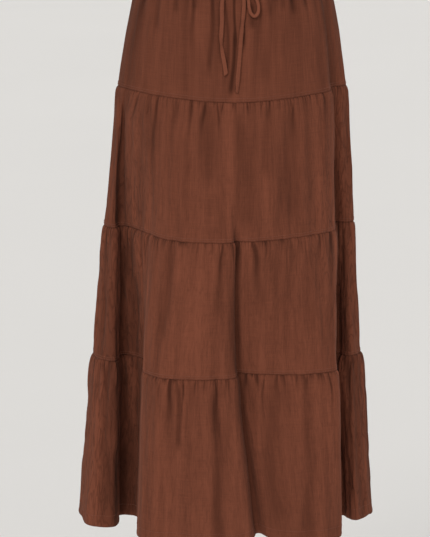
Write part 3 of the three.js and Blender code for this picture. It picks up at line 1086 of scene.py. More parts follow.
# Clefts with LEVEL depths only paint: shade on the left flare and in the left recess, highlights along the
# left front edge and the right ridge.
FRONT_CLEFTS = (
    Cleft(2.1, 0.010, LOOSE, LEVEL, (0.0, 0.30, 0.58, 0.60), left=0.021, right=0.010),
    Cleft(3.0, 0.008, FLARED, (0.0, 0.0020, 0.0030, 0.0030), (0.14, 0.44, 0.48, 0.46)),
    Cleft(4.4, 0.008, LOOSE, LEVEL, (0.0, 0.06, 0.12, 0.14), left=0.022, right=0.022),
    Cleft(6.05, 0.004, LOOSE, LEVEL, (0.0, -0.45, -0.85, -0.85), left=0.006, right=0.0035),
    Cleft(
        9.93, 0.0042, RECESSED, (0.0, 0.0034, 0.0038, 0.0026), (0.0, 0.62, 0.50, 0.20),
        left=0.021, right=0.012, opening=(0.30, 0.34, 1.0, 0.8),
    ),
    Cleft(14.08, 0.004, RIDGED, LEVEL, (0.0, -0.55, -0.90, -0.90), left=0.0065, right=0.007),
    Cleft(
        16.0, 0.005, RIDGED, (0.0, 0.0008, 0.0016, 0.0018), (0.03, 0.24, 0.46, 0.30),
        left=0.012, right=0.0045,
    ),
    Cleft(
        16.45, 0.004, LOOSE, (0.0, -0.0006, -0.0014, -0.0014), (0.0, -0.35, -0.70, -0.60),
        left=0.0035, right=0.0035,
    ),
    Cleft(
        16.95, 0.003, LOOSE, (0.0, 0.0006, 0.0016, 0.0016), (0.0, 0.20, 0.42, 0.18),
        left=0.0050, right=0.0060,
    ),
)
BACK_CLEFTS = tuple(
    Cleft(20.0 + 2 * place, 0.009, LOOSE, BACK_DEPTHS, (0.0, 0.15, *shades))
    for place, shades in enumerate(BACK_SHADES)
)
CLEFTS = FRONT_CLEFTS + BACK_CLEFTS


@dataclass(frozen=True)
class Gathering:
    """Small gathers that are sewn into a seam, uneven but the same on every run."""

    spacing: float
    depth: float
    width: float
    length: float
    long_share: float
    seed: int
    sewn_share: float = 0.45
    sewn_reach: float = 0.004
    side_clear: float = 0.003

    def relief(self, u: Array, below: Array) -> Array:
        """How far the gathers move each point out.

        Args:
            u: The columns' places across the grain, in metres.
            below: The rows' distances below the seam.

        Returns:
            The move at each row and column.
        """
        chance = np.random.default_rng(self.seed)
        total = np.zeros((len(below), len(u)))
        under = np.clip(below, 0.0, None)
        loose = 1 - faded(under, self.sewn_reach)
        sewn = np.where(below < 0.0, 0.0, self.sewn_share + (1 - self.sewn_share) * loose)
        place = u[0] + self.spacing * chance.uniform(0.2, 0.7)
        while place < u[-1] - self.side_clear:
            deep = self.depth * chance.uniform(0.45, 1.25)
            wide = self.width * chance.uniform(0.75, 1.35)
            reach = self.length * chance.uniform(0.4, 1.5)
            if chance.random() < self.long_share:
                reach = self.length * chance.uniform(2.6, 5.0)
                deep = deep * 1.15
            slant = chance.uniform(-0.10, 0.10)
            near = np.abs(u - place) < 0.03
            centre = place + slant * under + 0.0012 * np.sin(under / 0.011 + place * 400)
            spread = wide * (1 + under / 0.035)
            strength = deep * sewn * np.exp(-((under / reach) ** 1.4)) / np.sqrt(1 + under / 0.05)
            across = (u[None, near] - centre[:, None]) / spread[:, None]
            groove = bell(across, 1.0) - 0.28 * bell(np.abs(across) - 2.1, 1.0)
            total[:, near] -= strength[:, None] * groove
            place += self.spacing * chance.uniform(0.55, 1.5)
        return total


@dataclass(frozen=True)
class PanelShape:
    """Everything that one panel's surface needs: its columns, and its relief at any place.

    `edge`, `roll` and the two lines each hold a strength and a reach. `allowance` holds a height,
    its middle above the foot and its half height. `waves` holds the cell and height of each layer.
    """

    form: SkirtForm
    side: Side
    top: float
    foot: float
    puff: float
    gatherings: tuple[Gathering, ...]
    tick: float
    crinkle: float
    seed: int
    places: Array
    across: Array
    seam_fade: float = 0.010
    side_fade: float = 0.003
    spring_reach: float = 0.005
    allowance: Triple = (0.0005, 0.0048, 0.0032)
    edge: Pair = (0.0004, 0.0009)
    roll: Pair = (0.0008, 0.0018)
    sway: float = 0.0007
    hip_y: float = -0.092
    hip_reach: float = 0.07
    waves: tuple[tuple[Pair, float], ...] = (
        ((0.0048, 0.028), 0.00034), ((0.009, 0.085), 0.00060), ((0.019, 0.300), 0.00110),
    )
    # gather_full and crinkle_full are the depths at which the gathers' and the crinkle's painted shade is
    # full; foot_line and top_line hold the painted shade along the foot and the top seam.
    gather_full: float = 0.0014
    crinkle_full: float = 0.0022
    foot_line: Pair = (0.34, 0.0007)
    top_line: Pair = (0.40, 0.0012)

    def outer(
        self, below: Array, q: Array
    ) -> tuple[Array, Array, Array, dict[str, Array]]:
        """The outer surface.

        Args:
            below: The rows' distances below the panel's top seam.
            q: The columns' places.

        Returns:
            The points, the outward directions, the directions along the plan and the tones.
        """
        z = self.top - below
        points, out, along = self.form.wall(z, q)
        u = np.interp(q, self.places, self.across)
        high = self.top - self.foot
        under = np.clip(below, 0.0, None)[:, None]
        over = np.clip(high - below, 0.0, None)[:, None]
        aside = np.minimum(u - self.across[0], self.across[-1] - u)[None, :]
        ends = (1 - faded(under, self.seam_fade)) * (1 - faded(over, self.seam_fade))
        sides = 1 - faded(aside, self.side_fade)
        slack = self._slack(points)
        gathers = sum(gathering.relief(u, below) for gathering in self.gatherings) * sides
        crinkles = self._crinkles(u, z) * slack * ends * sides
        lines = [crease.relief(self.side, points) for crease in CREASES]
        lines += [cleft.relief(z, q, u) for cleft in CLEFTS]
        shared = sum(move for move, _ in lines) + self._sway(points)
        spring = self.puff * (1 - faded(under, self.spring_reach)) * (1 - under / high)
        move = shared + spring + gathers + crinkles + self._seam_relief(over, aside)
        seam = 0.6 + 0.4 * noise_along(u, 0.009, self.seed + 41)[None, :]
        (foot_shade, foot_reach), (top_shade, top_reach) = self.foot_line, self.top_line
        # Painted shading: shade in the gathers' grooves, along both seams and in the crinkle's troughs, plus
        # the creases' and clefts' painted shade and highlights.
        hollow = np.clip(-gathers / self.gather_full, 0.0, 1.0) ** 1.4 * 0.80
        hollow = hollow + foot_shade * seam * faded(over, foot_reach)
        hollow = hollow + top_shade * seam * faded(under, top_reach) + sum(shade for _, shade in lines)
        hollow = hollow + np.clip(-crinkles / self.crinkle_full, 0.0, 1.0) * 0.34
        tones = {
            "hollow": np.clip(hollow, -0.9, 0.95),
            "slack": np.clip((slack - 0.3) / 2.2, 0.0, 1.0) ** 1.3,
            "gather": faded(under, self.tick) * (0.35 + 0.65 * seam) * np.ones_like(hollow),
        }
        return points + out * move[..., None], out, along, tones

    def _seam_relief(self, over: Array, aside: Array) -> Array:
        """How the foot's allowance shows through, and how the foot and the sides roll in.

        Args:
            over: The rows' distances above the panel's foot.
            aside: The columns' distances from the nearer side seam.

        Returns:
            The move out at each row and column.
        """
        raised, middle, half = self.allowance
        allowance = raised * np.exp(-(((over - middle) / half) ** 4))
        edge, edge_reach = self.edge
        roll, roll_reach = self.roll
        return allowance - edge * faded(over, edge_reach) - roll * faded(aside, roll_reach)

    def _sway(self, points: Array) -> Array:
        """Low soft waves that run through the seams, the same for the panels on both sides.

        Args:
            points: Points of the form.

        Returns:
            The move out at each point.
        """
        turn = np.arctan2(points[..., 0], -points[..., 1])
        drop = -points[..., 2]
        loose = np.clip((drop - 0.10) / 0.25, 0.0, 1.0)
        waves = np.sin(turn * 17 + 1.9 * np.sin(drop * 9.0 + 0.6))
        waves = waves + 0.7 * np.sin(turn * 29 - drop * 7.0 + 2.0)
        return (waves + 0.5 * np.sin(turn * 43 + drop * 11.0 + 4.0)) * self.sway * loose

    def _slack(self, points: Array) -> Array:
        """How slack the cloth is: least where it is stretched over the front of the hips.

        Args:
            points: Points of the form.

        Returns:
            The slack at each point.
        """
        aside = np.clip((points[..., 1] - self.hip_y) / self.hip_reach, 0.0, 1.0)
        drop = -points[..., 2]
        return (1 + 1.5 * aside) * np.clip(0.35 + drop / 0.5, 0.35, 1.25) * self.crinkle

    def _crinkles(self, u: Array, z: Array) -> Array:
        """The cloth's own crinkle.

        Args:
            u: The columns' places across the grain.
            z: The rows' heights.

        Returns:
            The move at each row and column.
        """
        across, down = np.meshgrid(u, -z)
        bent = across + 0.004 * soft_noise(across, down, (0.05, 0.07), self.seed)
        total = np.zeros_like(bent)
        for place, (cell, height) in enumerate(self.waves):
            total += soft_noise(bent, down, cell, self.seed + 1 + place) * height
        return total


@dataclass
class Tier:
    """One gathered tier: a front and a back panel, each a thin closed shell.

    `row_steps` holds the first step between rows, the largest and how much each grows on the last.
    """

    name: str
    form: SkirtForm
    top: float
    foot: float
    puff: float
    spacing: float
    depth: float
    length: float
    long_share: float
    seed: int
    crinkle: float = 1.0
    gather_width: float = 0.0010
    tick: float = 0.009
    thickness: float = 0.0011
    column_step: float = 0.00125
    row_steps: Triple = (0.0008, 0.0058, 1.15)
    tuck: float = 0.002
    tuck_depth: float = 0.0012
    edge_reach: float = 0.0009
    edge_thinning: float = 0.0006
    side_gap: float = 0.00001
    hemmed: bool = False
    hem_turn: float = 0.0195
    hem_extra: float = 0.0008
    caught_height: float = 0.0100
    caught_x: float = 0.0430
    caught_width: float = 0.024

    @property
    def high(self) -> float:
        """Return the tier's height."""
        return self.top - self.foot

    def shape(self, side: Side) -> PanelShape:
        """Work out the surface of one half.

        Args:
            side: Which half it is.

        Returns:
            The surface.
        """
        middle = (self.top + self.foot) / 2
        places = self.form.even(middle, side, self.column_step)
        across = self.form.run(middle, places)
        seed = self.seed + (50 if side is Side.BACK else 0)
        wide = self.gather_width * 3.0
        gatherings = (
            Gathering(self.spacing, self.depth, self.gather_width, self.length, self.long_share, seed),
            Gathering(self.spacing * 2.8, self.depth * 0.9, wide, self.length * 2.6, 0.25, seed + 7),
        )
        return PanelShape(
            self.form, side, self.top, self.foot, self.puff, gatherings,
            self.tick, self.crinkle, seed, places, across,
        )

    def rows(self) -> Array:
        """Return the rows' distances below the seam, with the tucked edge above it."""
        below = graded(self.high, *self.row_steps)
        return np.concatenate([[-self.tuck, -self.tuck / 2], below]) if self.tuck else below

    def build(self, side: Side, material: Material) -> Object:
        """Args:
            side: Which half it is.
            material: The cloth.

        Returns:
            The panel.
        """
        shape = self.shape(side)
        below = self.rows()
        outer, out, along, tones = shape.outer(below, shape.places)
        behind = faded(np.clip(below, 0.0, None), self.edge_reach) * (self.tuck_depth if self.tuck else 0.0)
        outer = outer - out * behind[:, None, None]
        inner = outer - out * self._thickness(below)[:, None, None]
        if self.hemmed:
            fall = self._hem_wave(side, outer[..., 0], shape.across, below)
            outer[..., 2] += fall
            inner[..., 2] += fall
        gap = np.zeros((1, len(shape.places), 1))
        gap[:, 0] = self.side_gap
        gap[:, -1] = -self.side_gap
        outer = outer + along * gap
        inner = inner + along * gap
        piece = MeshPiece(f"{self.name}_{side.value}_cloth")
        self._fill(piece, outer, inner[:, ::2], shape.across, below, tones)
        return piece.build(material, Slot.CLOTH, f"{self.name}_{side.value}")

    def _thickness(self, below: Array) -> Array:
        """How thick the shell is: thin at its foot, double in a hem.

        Args:
            below: The rows' distances below the seam.

        Returns:
            The thickness at each row.
        """
        over = np.clip(self.high - below, 0.0, None)
        thick = self.thickness - self.edge_thinning * faded(over, self.edge_reach)
        if self.hemmed:
            thick = thick + self.hem_extra * np.clip((self.hem_turn - over) / 0.0015, 0.0, 1.0)
        return thick

    def stitch_line(self, side: Side, over: float, places: Array) -> tuple[Array, Array]:
        """A line on the panel's face at one distance above its foot.

        Args:
            side: Which half it is.
            over: The distance above the foot.
            places: The line's places, counted in folds.

        Returns:
            The line's points and the outward direction at each.
        """
        shape = self.shape(side)
        below = np.array([self.high - over])
        points, out, _, _ = shape.outer(below, places)
        if self.hemmed:
            u = np.interp(places, shape.places, shape.across)
            points[..., 2] += self._hem_wave(side, points[..., 0], u, below)
        return points[0] + out[0] * 0.0001, out[0]

    def _hem_wave(self, side: Side, x: Array, u: Array, below: Array) -> Array:
        """How far the hem's edge rises and falls, fading out above it.

        Args:
            side: Which half it is. At the front the edge is caught up at the foot of the centre fold.
            x: The x of each row and column.
            u: The columns' places across the grain.
            below: The rows' distances below the seam.

        Returns:
            The move up at each row and column.
        """
        over = np.clip(self.high - below, 0.0, None)
        wave = noise_along(u, 0.045, self.seed + 31) * 0.0016 + noise_along(u, 0.014, self.seed + 32) * 0.0005
        height = self.caught_height if side is Side.FRONT else 0.0
        caught = height * bell(x - self.caught_x, self.caught_width)
        return faded(over, 0.05)[:, None] * (wave[None, :] + caught)

    def _fill(
        self,
        piece: MeshPiece,
        outer: Array,
        inner: Array,
        u: Array,
        below: Array,
        tones: dict[str, Array],
    ) -> None:
        """Join the outer and inner grids into a closed shell.

        Args:
            piece: Where the points and faces go.
            outer: The outer grid.
            inner: The inner grid, with every second column of the outer one.
            u: The outer columns' places across the grain.
            below: The rows' distances below the seam.
            tones: The tones of the outer grid.
        """
        rows, columns = outer.shape[:2]
        few = inner.shape[1]
        first = rows * columns
        grain = np.stack(np.meshgrid(u + self.seed * 0.7, -below + self.top), axis=2)
        out_faces = grid_faces(rows, columns)
        in_faces = grid_faces(rows, few)[:, ::-1] + first
        c = np.arange(few - 1)
        top = np.stack([2 * c, 2 * c + 1, 2 * c + 2, first + c + 1, first + c], axis=1)
        last = (rows - 1) * columns
        low = first + (rows - 1) * few
        foot = np.stack([last + 2 * c + 2, last + 2 * c + 1, last + 2 * c, low + c, low + c + 1], axis=1)
        face = np.arange(rows - 1) * columns
        back = first + np.arange(rows - 1) * few
        left = np.stack([face, back, back + few, face + columns], axis=1)
        face, back = face + columns - 1, back + few - 1
        right = np.stack([face, face + columns, back + few, back], axis=1)
        points = np.concatenate([outer.reshape(-1, 3), inner.reshape(-1, 3)])
        uv = np.concatenate([grain.reshape(-1, 2), grain[:, ::2].reshape(-1, 2)])
        both = {}
        for name, tone in tones.items():
            both[name] = np.concatenate([tone.ravel(), tone[:, ::2].ravel() * 0.5])
        piece.add(points, [out_faces, in_faces, left, right, top, foot], uv, **both)


@dataclass
class Stitches:
    """Rows of straight stitches, each a short spindle of thread.

    `profile` holds the share of the length, the share of the radius and the lift of each ring.
    """

    name: str
    length: float = 0.0025
    gap: float = 0.0009
    radius: float = 0.00028
    profile: tuple[Triple, ...] = (
        (0.0, 0.35, -0.00015), (0.25, 1.0, 0.00012), (0.75, 1.0, 0.00012), (1.0, 0.35, -0.00015),
    )
    starts: list[Array] = field(default_factory=list)
    ends: list[Array] = field(default_factory=list)
    ups: list[Array] = field(default_factory=list)

    def row(self, points: Array, out: Array) -> None:
        """Sew one row.

        Args:
            points: A dense line on the cloth.
            out: The outward direction at each point.
        """
        run = run_along(points)
        pitch = self.length + self.gap
        count = int((run[-1] - self.gap) / pitch)
        begin = np.arange(count) * pitch + self.gap / 2
        self.starts.append(sampled(begin, run, points))
        self.ends.append(sampled(begin + self.length, run, points))
        self.ups.append(sampled(begin + self.length / 2, run, out))

    def build(self, material: Material) -> Object:
        """Make all rows one piece.

        Args:
            material: The thread.

        Returns:
            The piece.
        """
        start, end, up = (np.concatenate(rows) for rows in (self.starts, self.ends, self.ups))
        ahead = (end - start) / np.linalg.norm(end - start, axis=1, keepdims=True)
        side = np.cross(ahead, up)
        rings = []
        for share, fat, lift in self.profile:
            centre = start + (end - start) * share + up * lift
            for angle in turns(4, 0.5):
                spoke = side * math.cos(angle) + up * math.sin(angle)
                rings.append(centre + spoke * self.radius * fat)
        points = np.stack(rings, axis=1)
        quads, ends = tube_faces(4, 4)
        block = np.concatenate([quads, ends[:, ::-1]])
        every = (block[None] + np.arange(len(start))[:, None, None] * 16).reshape(-1, 4)
        piece = MeshPiece(self.name)
        piece.add(points, [every], points[..., [0, 2]])
        return piece.build(material, Slot.CLOTH)


@dataclass
class Waistband:
    """Elastic casing: a rippled closed ring with rows of stitching and two buttonholes.

    `top_rings` holds the drop and the depth of each ring over the top edge, and `foot_rings` the
    depth of each ring under the foot.
    """

    form: SkirtForm
    half: float = 0.020
    wall: float = 0.0032
    plan_height: float = -0.020
    spacing: float = 0.0105
    ripple: float = 0.0014
    column_step: float = 0.0014
    samples: int = 6001
    face_rows: int = 44
    lean: float = 22.0
    pinch_width: float = 0.0022
    groove_width: float = 0.0014
    stitch_rows: tuple[float, ...] = (0.0150, 0.0050, -0.0050, -0.0150)
    top_rings: tuple[Pair, ...] = ((0.0005, -0.0005), (0.0, -0.0016), (0.0005, -0.0024))
    foot_rings: Pair = (-0.0022, -0.0007)

    def _columns(self) -> tuple[Array, Array]:
        """Space the ring's columns evenly.

        Returns:
            The columns, as places and as distances round it.
        """
        dense = np.linspace(0.0, float(self.form.count), self.samples)
        run = self.form.run(self.plan_height, dense)
        count = round(run[-1] / self.column_step)
        along = np.linspace(0.0, run[-1], count, endpoint=False)
        return np.interp(along, run, dense), along

    def _ripples(self, along: Array, height: Array, total: float) -> Array:
        """Gathers of the band, which close up at its rows of stitching.

        Args:
            along: Places round the ring.
            height: The rows' heights.
            total: The ring's whole length.

        Returns:
            The move out at each row and column.
        """
        turn = along / total * 2 * math.pi
        wander = 0.9 * np.sin(turn * 7) + 0.6 * np.sin(turn * 12 + 1)
        phase = turn * round(total / self.spacing) + wander
        pinch = 1 - 0.55 * sum(bell(height - row, self.pinch_width) for row in self.stitch_rows)
        lean = phase[None, :] + self.lean * height[:, None]
        waves = np.sin(lean) * 0.5 + 0.28 * np.sin(2 * lean + 1.3)
        uneven = 0.75 + 0.35 * np.sin(turn * 27 + 1.0)
        return self.ripple * waves * uneven[None, :] * pinch[:, None]

    def outer(self, height: Array) -> tuple[Array, Array, Array, Array]:
        """The band's outer surface.

        Args:
            height: The rows' heights.

        Returns:
            The points, the outward directions, the places round the ring and the shade painted at each point.
        """
        places, along = self._columns()
        total = float(along[-1] + along[1])
        points, out, _ = self.form.wall(np.full(len(height), self.plan_height), places)
        points[..., 2] = height[:, None]
        ripples = self._ripples(along, height, total)
        grooves = sum(bell(height - row, self.groove_width) for row in self.stitch_rows)
        crown = 0.0006 - 0.0005 * grooves - 0.0009 * np.clip(np.abs(height) / self.half, 0, 1) ** 6
        move = ripples + crown[:, None]
        # Painted shade in the ripples' troughs and along the stitch grooves.
        hollow = np.clip(-ripples / self.ripple, 0.0, 1.0) * 0.8 + 0.18 * grooves[:, None]
        return points + out * move[..., None], out, along, hollow

    def build(self, cloth: Material) -> Object:
        """Build the band.

        Args:
            cloth: Its cloth.

        Returns:
            The band.
        """
        low = -self.half + 0.0003
        face = np.linspace(self.half - 0.0008, low + 0.0006, self.face_rows)
        outer, out, along, hollow = self.outer(face)
        inner = outer - out * (self.wall - 0.0004)
        crest = [outer[0] + out[0] * deep for _, deep in self.top_rings]
        for ring, (drop, _) in zip(crest, self.top_rings):
            ring[:, 2] = self.half - drop * 0.6
        base = [outer[-1] + out[-1] * deep for deep in self.foot_rings]
        for ring in base:
            ring[:, 2] = low
        rows = np.concatenate([outer, base[::-1], inner[::-1], crest[::-1]])
        grain = np.stack(np.meshgrid(along, -run_along(rows[:, 0])), axis=2)
        faces = grid_faces(*rows.shape[:2], around_rows=True, around_columns=True)
        edges = np.zeros((len(base), len(along)))
        crown = np.zeros((len(crest), len(along)))
        tones = np.concatenate([hollow, edges, hollow[::-1] * 0.6, crown])
        piece = MeshPiece("waistband_cloth")
        piece.add(rows, [faces], grain, hollow=tones)
        return piece.build(cloth, Slot.CLOTH, "waistband")


# The tie


class Route:
    """A smooth line through a tie's points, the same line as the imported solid's."""

    def __init__(self, points: Sequence[Triple], step: float) -> None:
        """Sample the line evenly.

        Args:
            points: The points that it goes through, in metres.
            step: The distance between samples.
        """
        given = np.array(points)
        before = 2 * given[0] - given[1]
        after = 2 * given[-1] - given[-2]
        every = np.vstack([before, given, after])
        share = np.linspace(0.0, 1.0, 40, endpoint=False)[:, None]
        dense = [spline(every[first : first + 4], share)[0] for first in range(len(given) - 1)]
        line = np.vstack(dense + [given[-1:]])
        run = run_along(line)
        self.length = float(run[-1])
        count = max(12, round(self.length / step)) + 1
        self.run = np.linspace(0.0, self.length, count)
        self.points = sampled(self.run, run, line)
        ahead = np.gradient(self.points, axis=0)
        self.ahead = ahead / np.linalg.norm(ahead, axis=1, keepdims=True)


@dataclass
class TieStrand:
    """One free length of the tie: a narrow turned strip, pressed flat.

    `twists` holds how far along each twist is and its degrees, and `tip` the size and the way
    ahead of each ring that closes the far end.
    """

    node: str
    route: tuple[Triple, ...]
    width: float
    thick: float
    seed: int
    twists: tuple[Pair, ...]
    slant: float = 0.0
    far_end: str = "bare"
    step: float = 0.0012
    sides: int = 20
    twist_reach: float = 0.010
    tip: tuple[Pair, ...] = ((0.94, 0.0004), (0.78, 0.0008), (0.4, 0.001))

    def line(self) -> Route:
        """Return the strand's line."""
        return Route(self.route, self.step)

    def build(self, material: Material) -> Object:
        """Build the strand.

        Args:
            material: The tie's cloth.

        Returns:
            The strand.
        """
        line = self.line()
        turn = np.zeros(len(line.run))
        for at, degrees in self.twists:
            turn += math.radians(degrees) * bell(line.run - at, self.twist_reach)
        across, facing = self._turned(line, turn)
        angle = turns(self.sides, 0.5)
        wide = rounded(np.cos(angle), 0.75)
        deep = rounded(np.sin(angle), 0.8)
        pinch = 1 - 0.16 * np.clip(np.abs(np.sin(turn)) * 1.5, 0, 1)
        spread = self.width / 2 * (0.98 + noise_along(line.run, 0.006, self.seed) * 0.045) * pinch
        lumps = soft_noise(line.run, line.run, (0.009, 9.0), self.seed + 1)
        swell = self.thick / 2 * (1 + 0.216 * lumps)
        dented = np.clip(soft_noise(line.run, line.run, (0.02, 9.0), self.seed + 2), 0, 1)
        crease = 1 - 0.28 * bell(wide, 0.3) * dented[:, None]
        ending = np.clip(line.run / line.length * 8 - 7, 0, 1)
        flat = across[:, None] * (wide * spread[:, None])[..., None]
        raised = facing[:, None] * (deep * swell[:, None] * crease)[..., None]
        slope = line.ahead[:, None] * (wide * self.slant * ending[:, None])[..., None]
        rows = self._closed_end(line.points[:, None] + flat + raised + slope, line)
        count = len(rows)
        lengths = np.linspace(0.0, line.length, count)
        grain = np.stack(np.meshgrid(run_along(rows[5]) + self.seed, -lengths), axis=2)
        faces = [block[:, ::-1] for block in tube_faces(count, self.sides)]
        # Painted shade along both edges of the strip.
        hollow = np.tile(np.clip((np.abs(wide) - 0.72) * 4.0, 0, 1) * 0.85, (count, 1))
        piece = MeshPiece(f"{self.node}_cloth")
        piece.add(rows, faces, grain, hollow=hollow)
        return piece.build(material, Slot.TIE_CLOTH, self.node)

    @staticmethod
    def _turned(line: Route, turn: Array) -> tuple[Array, Array]:
        """Face the strip to the front and turn it about its line.

        Args:
            line: The strand's line.
            turn: The turn at each of its points, in radians.

        Returns:
            The direction across the strip and the one that it faces, at each point.
        """
        facing = np.tile(np.array([0.0, -1.0, 0.0]), (len(line.run), 1))
        facing = facing - line.ahead * np.sum(facing * line.ahead, axis=1, keepdims=True)
        facing = facing / np.linalg.norm(facing, axis=1, keepdims=True)
        across = np.cross(line.ahead, facing)
        cos = np.cos(turn)[:, None]
        sin = np.sin(turn)[:, None]
        return across * cos + facing * sin, facing * cos - across * sin

    def _closed_end(self, rows: Array, line: Route) -> Array:
        """Round the strand's far end off with smaller rings.

        Args:
            rows: The strand's rings.
            line: Its line.

        Returns:
            The rings with those of the end.
        """
        centre = rows[-1].mean(axis=0)
        spokes = rows[-1] - centre
        ends = [centre + spokes * shrink + line.ahead[-1] * ahead for shrink, ahead in self.tip]
        return np.concatenate([rows, ends])

    def declare(self, strand: Object, pieces: Sequence[Object]) -> None:
        """Args:
            strand: The built strand; not used.
            pieces: The separate pieces on it; not used.
        """
        line = self.line()
        tuple(map(float, line.points[0]))
        [tuple(map(float, point)) for point in line.points]
        log.info("%s: %.0f mm long", self.node, line.length * 1000)


@dataclass
class TieKnot:
    """Knot of the bow: a wrapped core, with two short leads out of the band.

    The strip's edge, fold and tuck each hold a place and a width.
    """

    centre: Triple = (0.0, -0.1155, 0.0)
    radii: Triple = (0.0095, 0.006, 0.008)
    lead_inner: Triple = (0.005, -0.1136, 0.0034)
    lead_outer: Triple = (0.025, -0.1103, 0.005)
    lead_radius: float = 0.0019
    core_rings: tuple[int, int] = (49, 72)
    lead_rings: tuple[int, int] = (28, 16)
    lean: float = 0.22
    wrap_half: float = 0.0047
    wrap_edge: Pair = (0.0049, 0.0007)
    fold: Pair = (0.0016, 0.0006)
    tuck: Pair = (-0.0022, 0.0007)

    def build(self, material: Material) -> Object:
        """Build the knot and its leads as one piece.

        Args:
            material: The tie's cloth.

        Returns:
            The piece.
        """
        piece = MeshPiece("tie_knot_cloth")
        self._add_core(piece)
        for hand in (-1.0, 1.0):
            self._add_lead(piece, hand)
        return piece.build(material, Slot.TIE_CLOTH, "tie_knot")

    def _add_core(self, piece: MeshPiece) -> None:
        """Add the core, with the strip that wraps it from top to foot.

        Args:
            piece: Where it goes.
        """
        rows, columns = self.core_rings
        rise = np.linspace(0.02, math.pi - 0.02, rows)[:, None]
        turn = turns(columns)[None, :]
        level = np.sin(rise)
        unit = np.stack([level * np.cos(turn), level * np.sin(turn), np.cos(rise) + 0 * turn], axis=2)
        x = unit[..., 0] * self.radii[0]
        z = unit[..., 2] * self.radii[2]
        (edge, edge_width), (fold, fold_width) = self.wrap_edge, self.fold
        tuck, tuck_width = self.tuck
        lean = x + z * self.lean
        wrap = np.exp(-((lean / self.wrap_half) ** 8))
        lines = bell(np.abs(lean) - edge, edge_width)
        folds = bell(lean - fold - z * 0.1, fold_width) * wrap
        tucks = bell(z - tuck - np.abs(x) * 0.3, tuck_width) * (1 - wrap)
        scale = 0.93 + 0.07 * wrap - 0.12 * lines - 0.05 * folds - 0.06 * tucks
        points = np.array(self.centre) + unit * np.array(self.radii) * scale[..., None]
        grain = np.stack([x * 1.4 + 3.0, -z * 1.4 + unit[..., 1] * 0.004], axis=2)
        # Painted shade along the wrap's edges, in its fold and in the tuck.
        hollow = np.clip(lines + folds * 0.6 + tucks * 0.6, 0, 1)
        piece.add(points, tube_faces(rows, columns), grain, hollow=hollow)

    def _add_lead(self, piece: MeshPiece, hand: float) -> None:
        """Add one short lead from the knot to its buttonhole.

        Args:
            piece: Where it goes.
            hand: -1 for the left one and 1 for the right one.
        """
        inner = np.array(self.lead_inner) * (hand, 1, 1)
        outer = np.array(self.lead_outer) * (hand, 1, 1)
        rows, columns = self.lead_rings
        share = np.linspace(0.0, 1.0, rows)
        ahead = (outer - inner) / np.linalg.norm(outer - inner)
        side = np.cross(ahead, (0.0, 1.0, 0.0))
        side = side / np.linalg.norm(side)
        front = np.cross(ahead, side)
        turn = turns(columns)
        ridges = 1 + 0.06 * np.cos(turn * 3 + 0.6)
        rings = []
        for at in share:
            centre = inner + (outer - inner) * at
            size = self.lead_radius * (0.9 + 0.1 * math.cos(at * 9.0))
            flat = side * np.cos(turn)[:, None] * size
            deep = front * np.sin(turn)[:, None] * size * 0.85
            rings.append(centre + (flat + deep) * ridges[:, None])
        grain = np.stack(np.meshgrid(turn * self.lead_radius, share * 0.02), axis=2)
        faces = [block[:, ::-1] for block in tube_faces(rows, columns)]
        piece.add(np.array(rings), faces, grain)


@dataclass
class Buttonhole:
    """Satin-stitched oval that a lead of the tie comes out of."""

    hand: float
    band: Waistband
    x: float = 0.0245
    z: float = 0.005
    half_height: float = 0.0062
    half_width: float = 0.0034
    thread: float = 0.0009

    def build(self, material: Material) -> Object:
        """Build the oval on the band's face.

        Args:
            material: The thread.

        Returns:
            The piece.
        """
        around, section = 120, 10
        turn, angle = turns(around), turns(section)[:, None]
        x = self.hand * self.x + self.half_width * np.cos(turn)
        z = self.z + self.half_height * rounded(np.sin(turn), 0.8)
        face, _, _, _ = self.band.outer(np.linspace(-0.004, 0.014, 25))
        front = face.reshape(-1, 3)
        front = front[(front[:, 1] < 0) & (np.abs(front[:, 0]) < 0.05)]
        toward = np.array([0, -1.0, 0])
        rings = []
        for i in range(around):
            near = np.argmin((front[:, 0] - x[i]) ** 2 + (front[:, 2] - z[i]) ** 2)
            centre = np.array([x[i], front[near, 1] - 0.0001, z[i]])
            out = np.array([math.cos(turn[i]), 0.0, math.sin(turn[i])])
            fat = self.thread * (1 + 0.12 * (i % 2))
            rings.append(centre + out * np.cos(angle) * fat + toward * np.sin(angle) * fat * 0.6)
        faces = grid_faces(around, section, around_rows=True, around_columns=True)
        grain = np.stack(np.meshgrid(np.arange(section) * 0.0004, turn * 0.005), axis=2)
        piece = MeshPiece("buttonhole_left" if self.hand < 0 else "buttonhole_right")
        piece.add(np.array(rings), [faces], grain)
        return piece.build(material, Slot.TIE_CLOTH)


# The studio


@dataclass(frozen=True)
class Sun:
    """A soft sun. Its turn is its tilt from straight down and its turn from the front, in degrees."""

    name: str
    strength: float
    turn: Pair
    softness: float
    colour: Triple = (1.0, 0.985, 0.965)

    def build(self) -> None:
        """Hang the sun."""
        data = bpy.data.lights.new(self.name, "SUN")
        data.energy = self.strength
        data.angle = math.radians(self.softness)
        data.color = self.colour
        tilt, turn = self.turn
        placed(self.name, data).rotation_euler = (math.radians(tilt), 0.0, math.radians(turn))


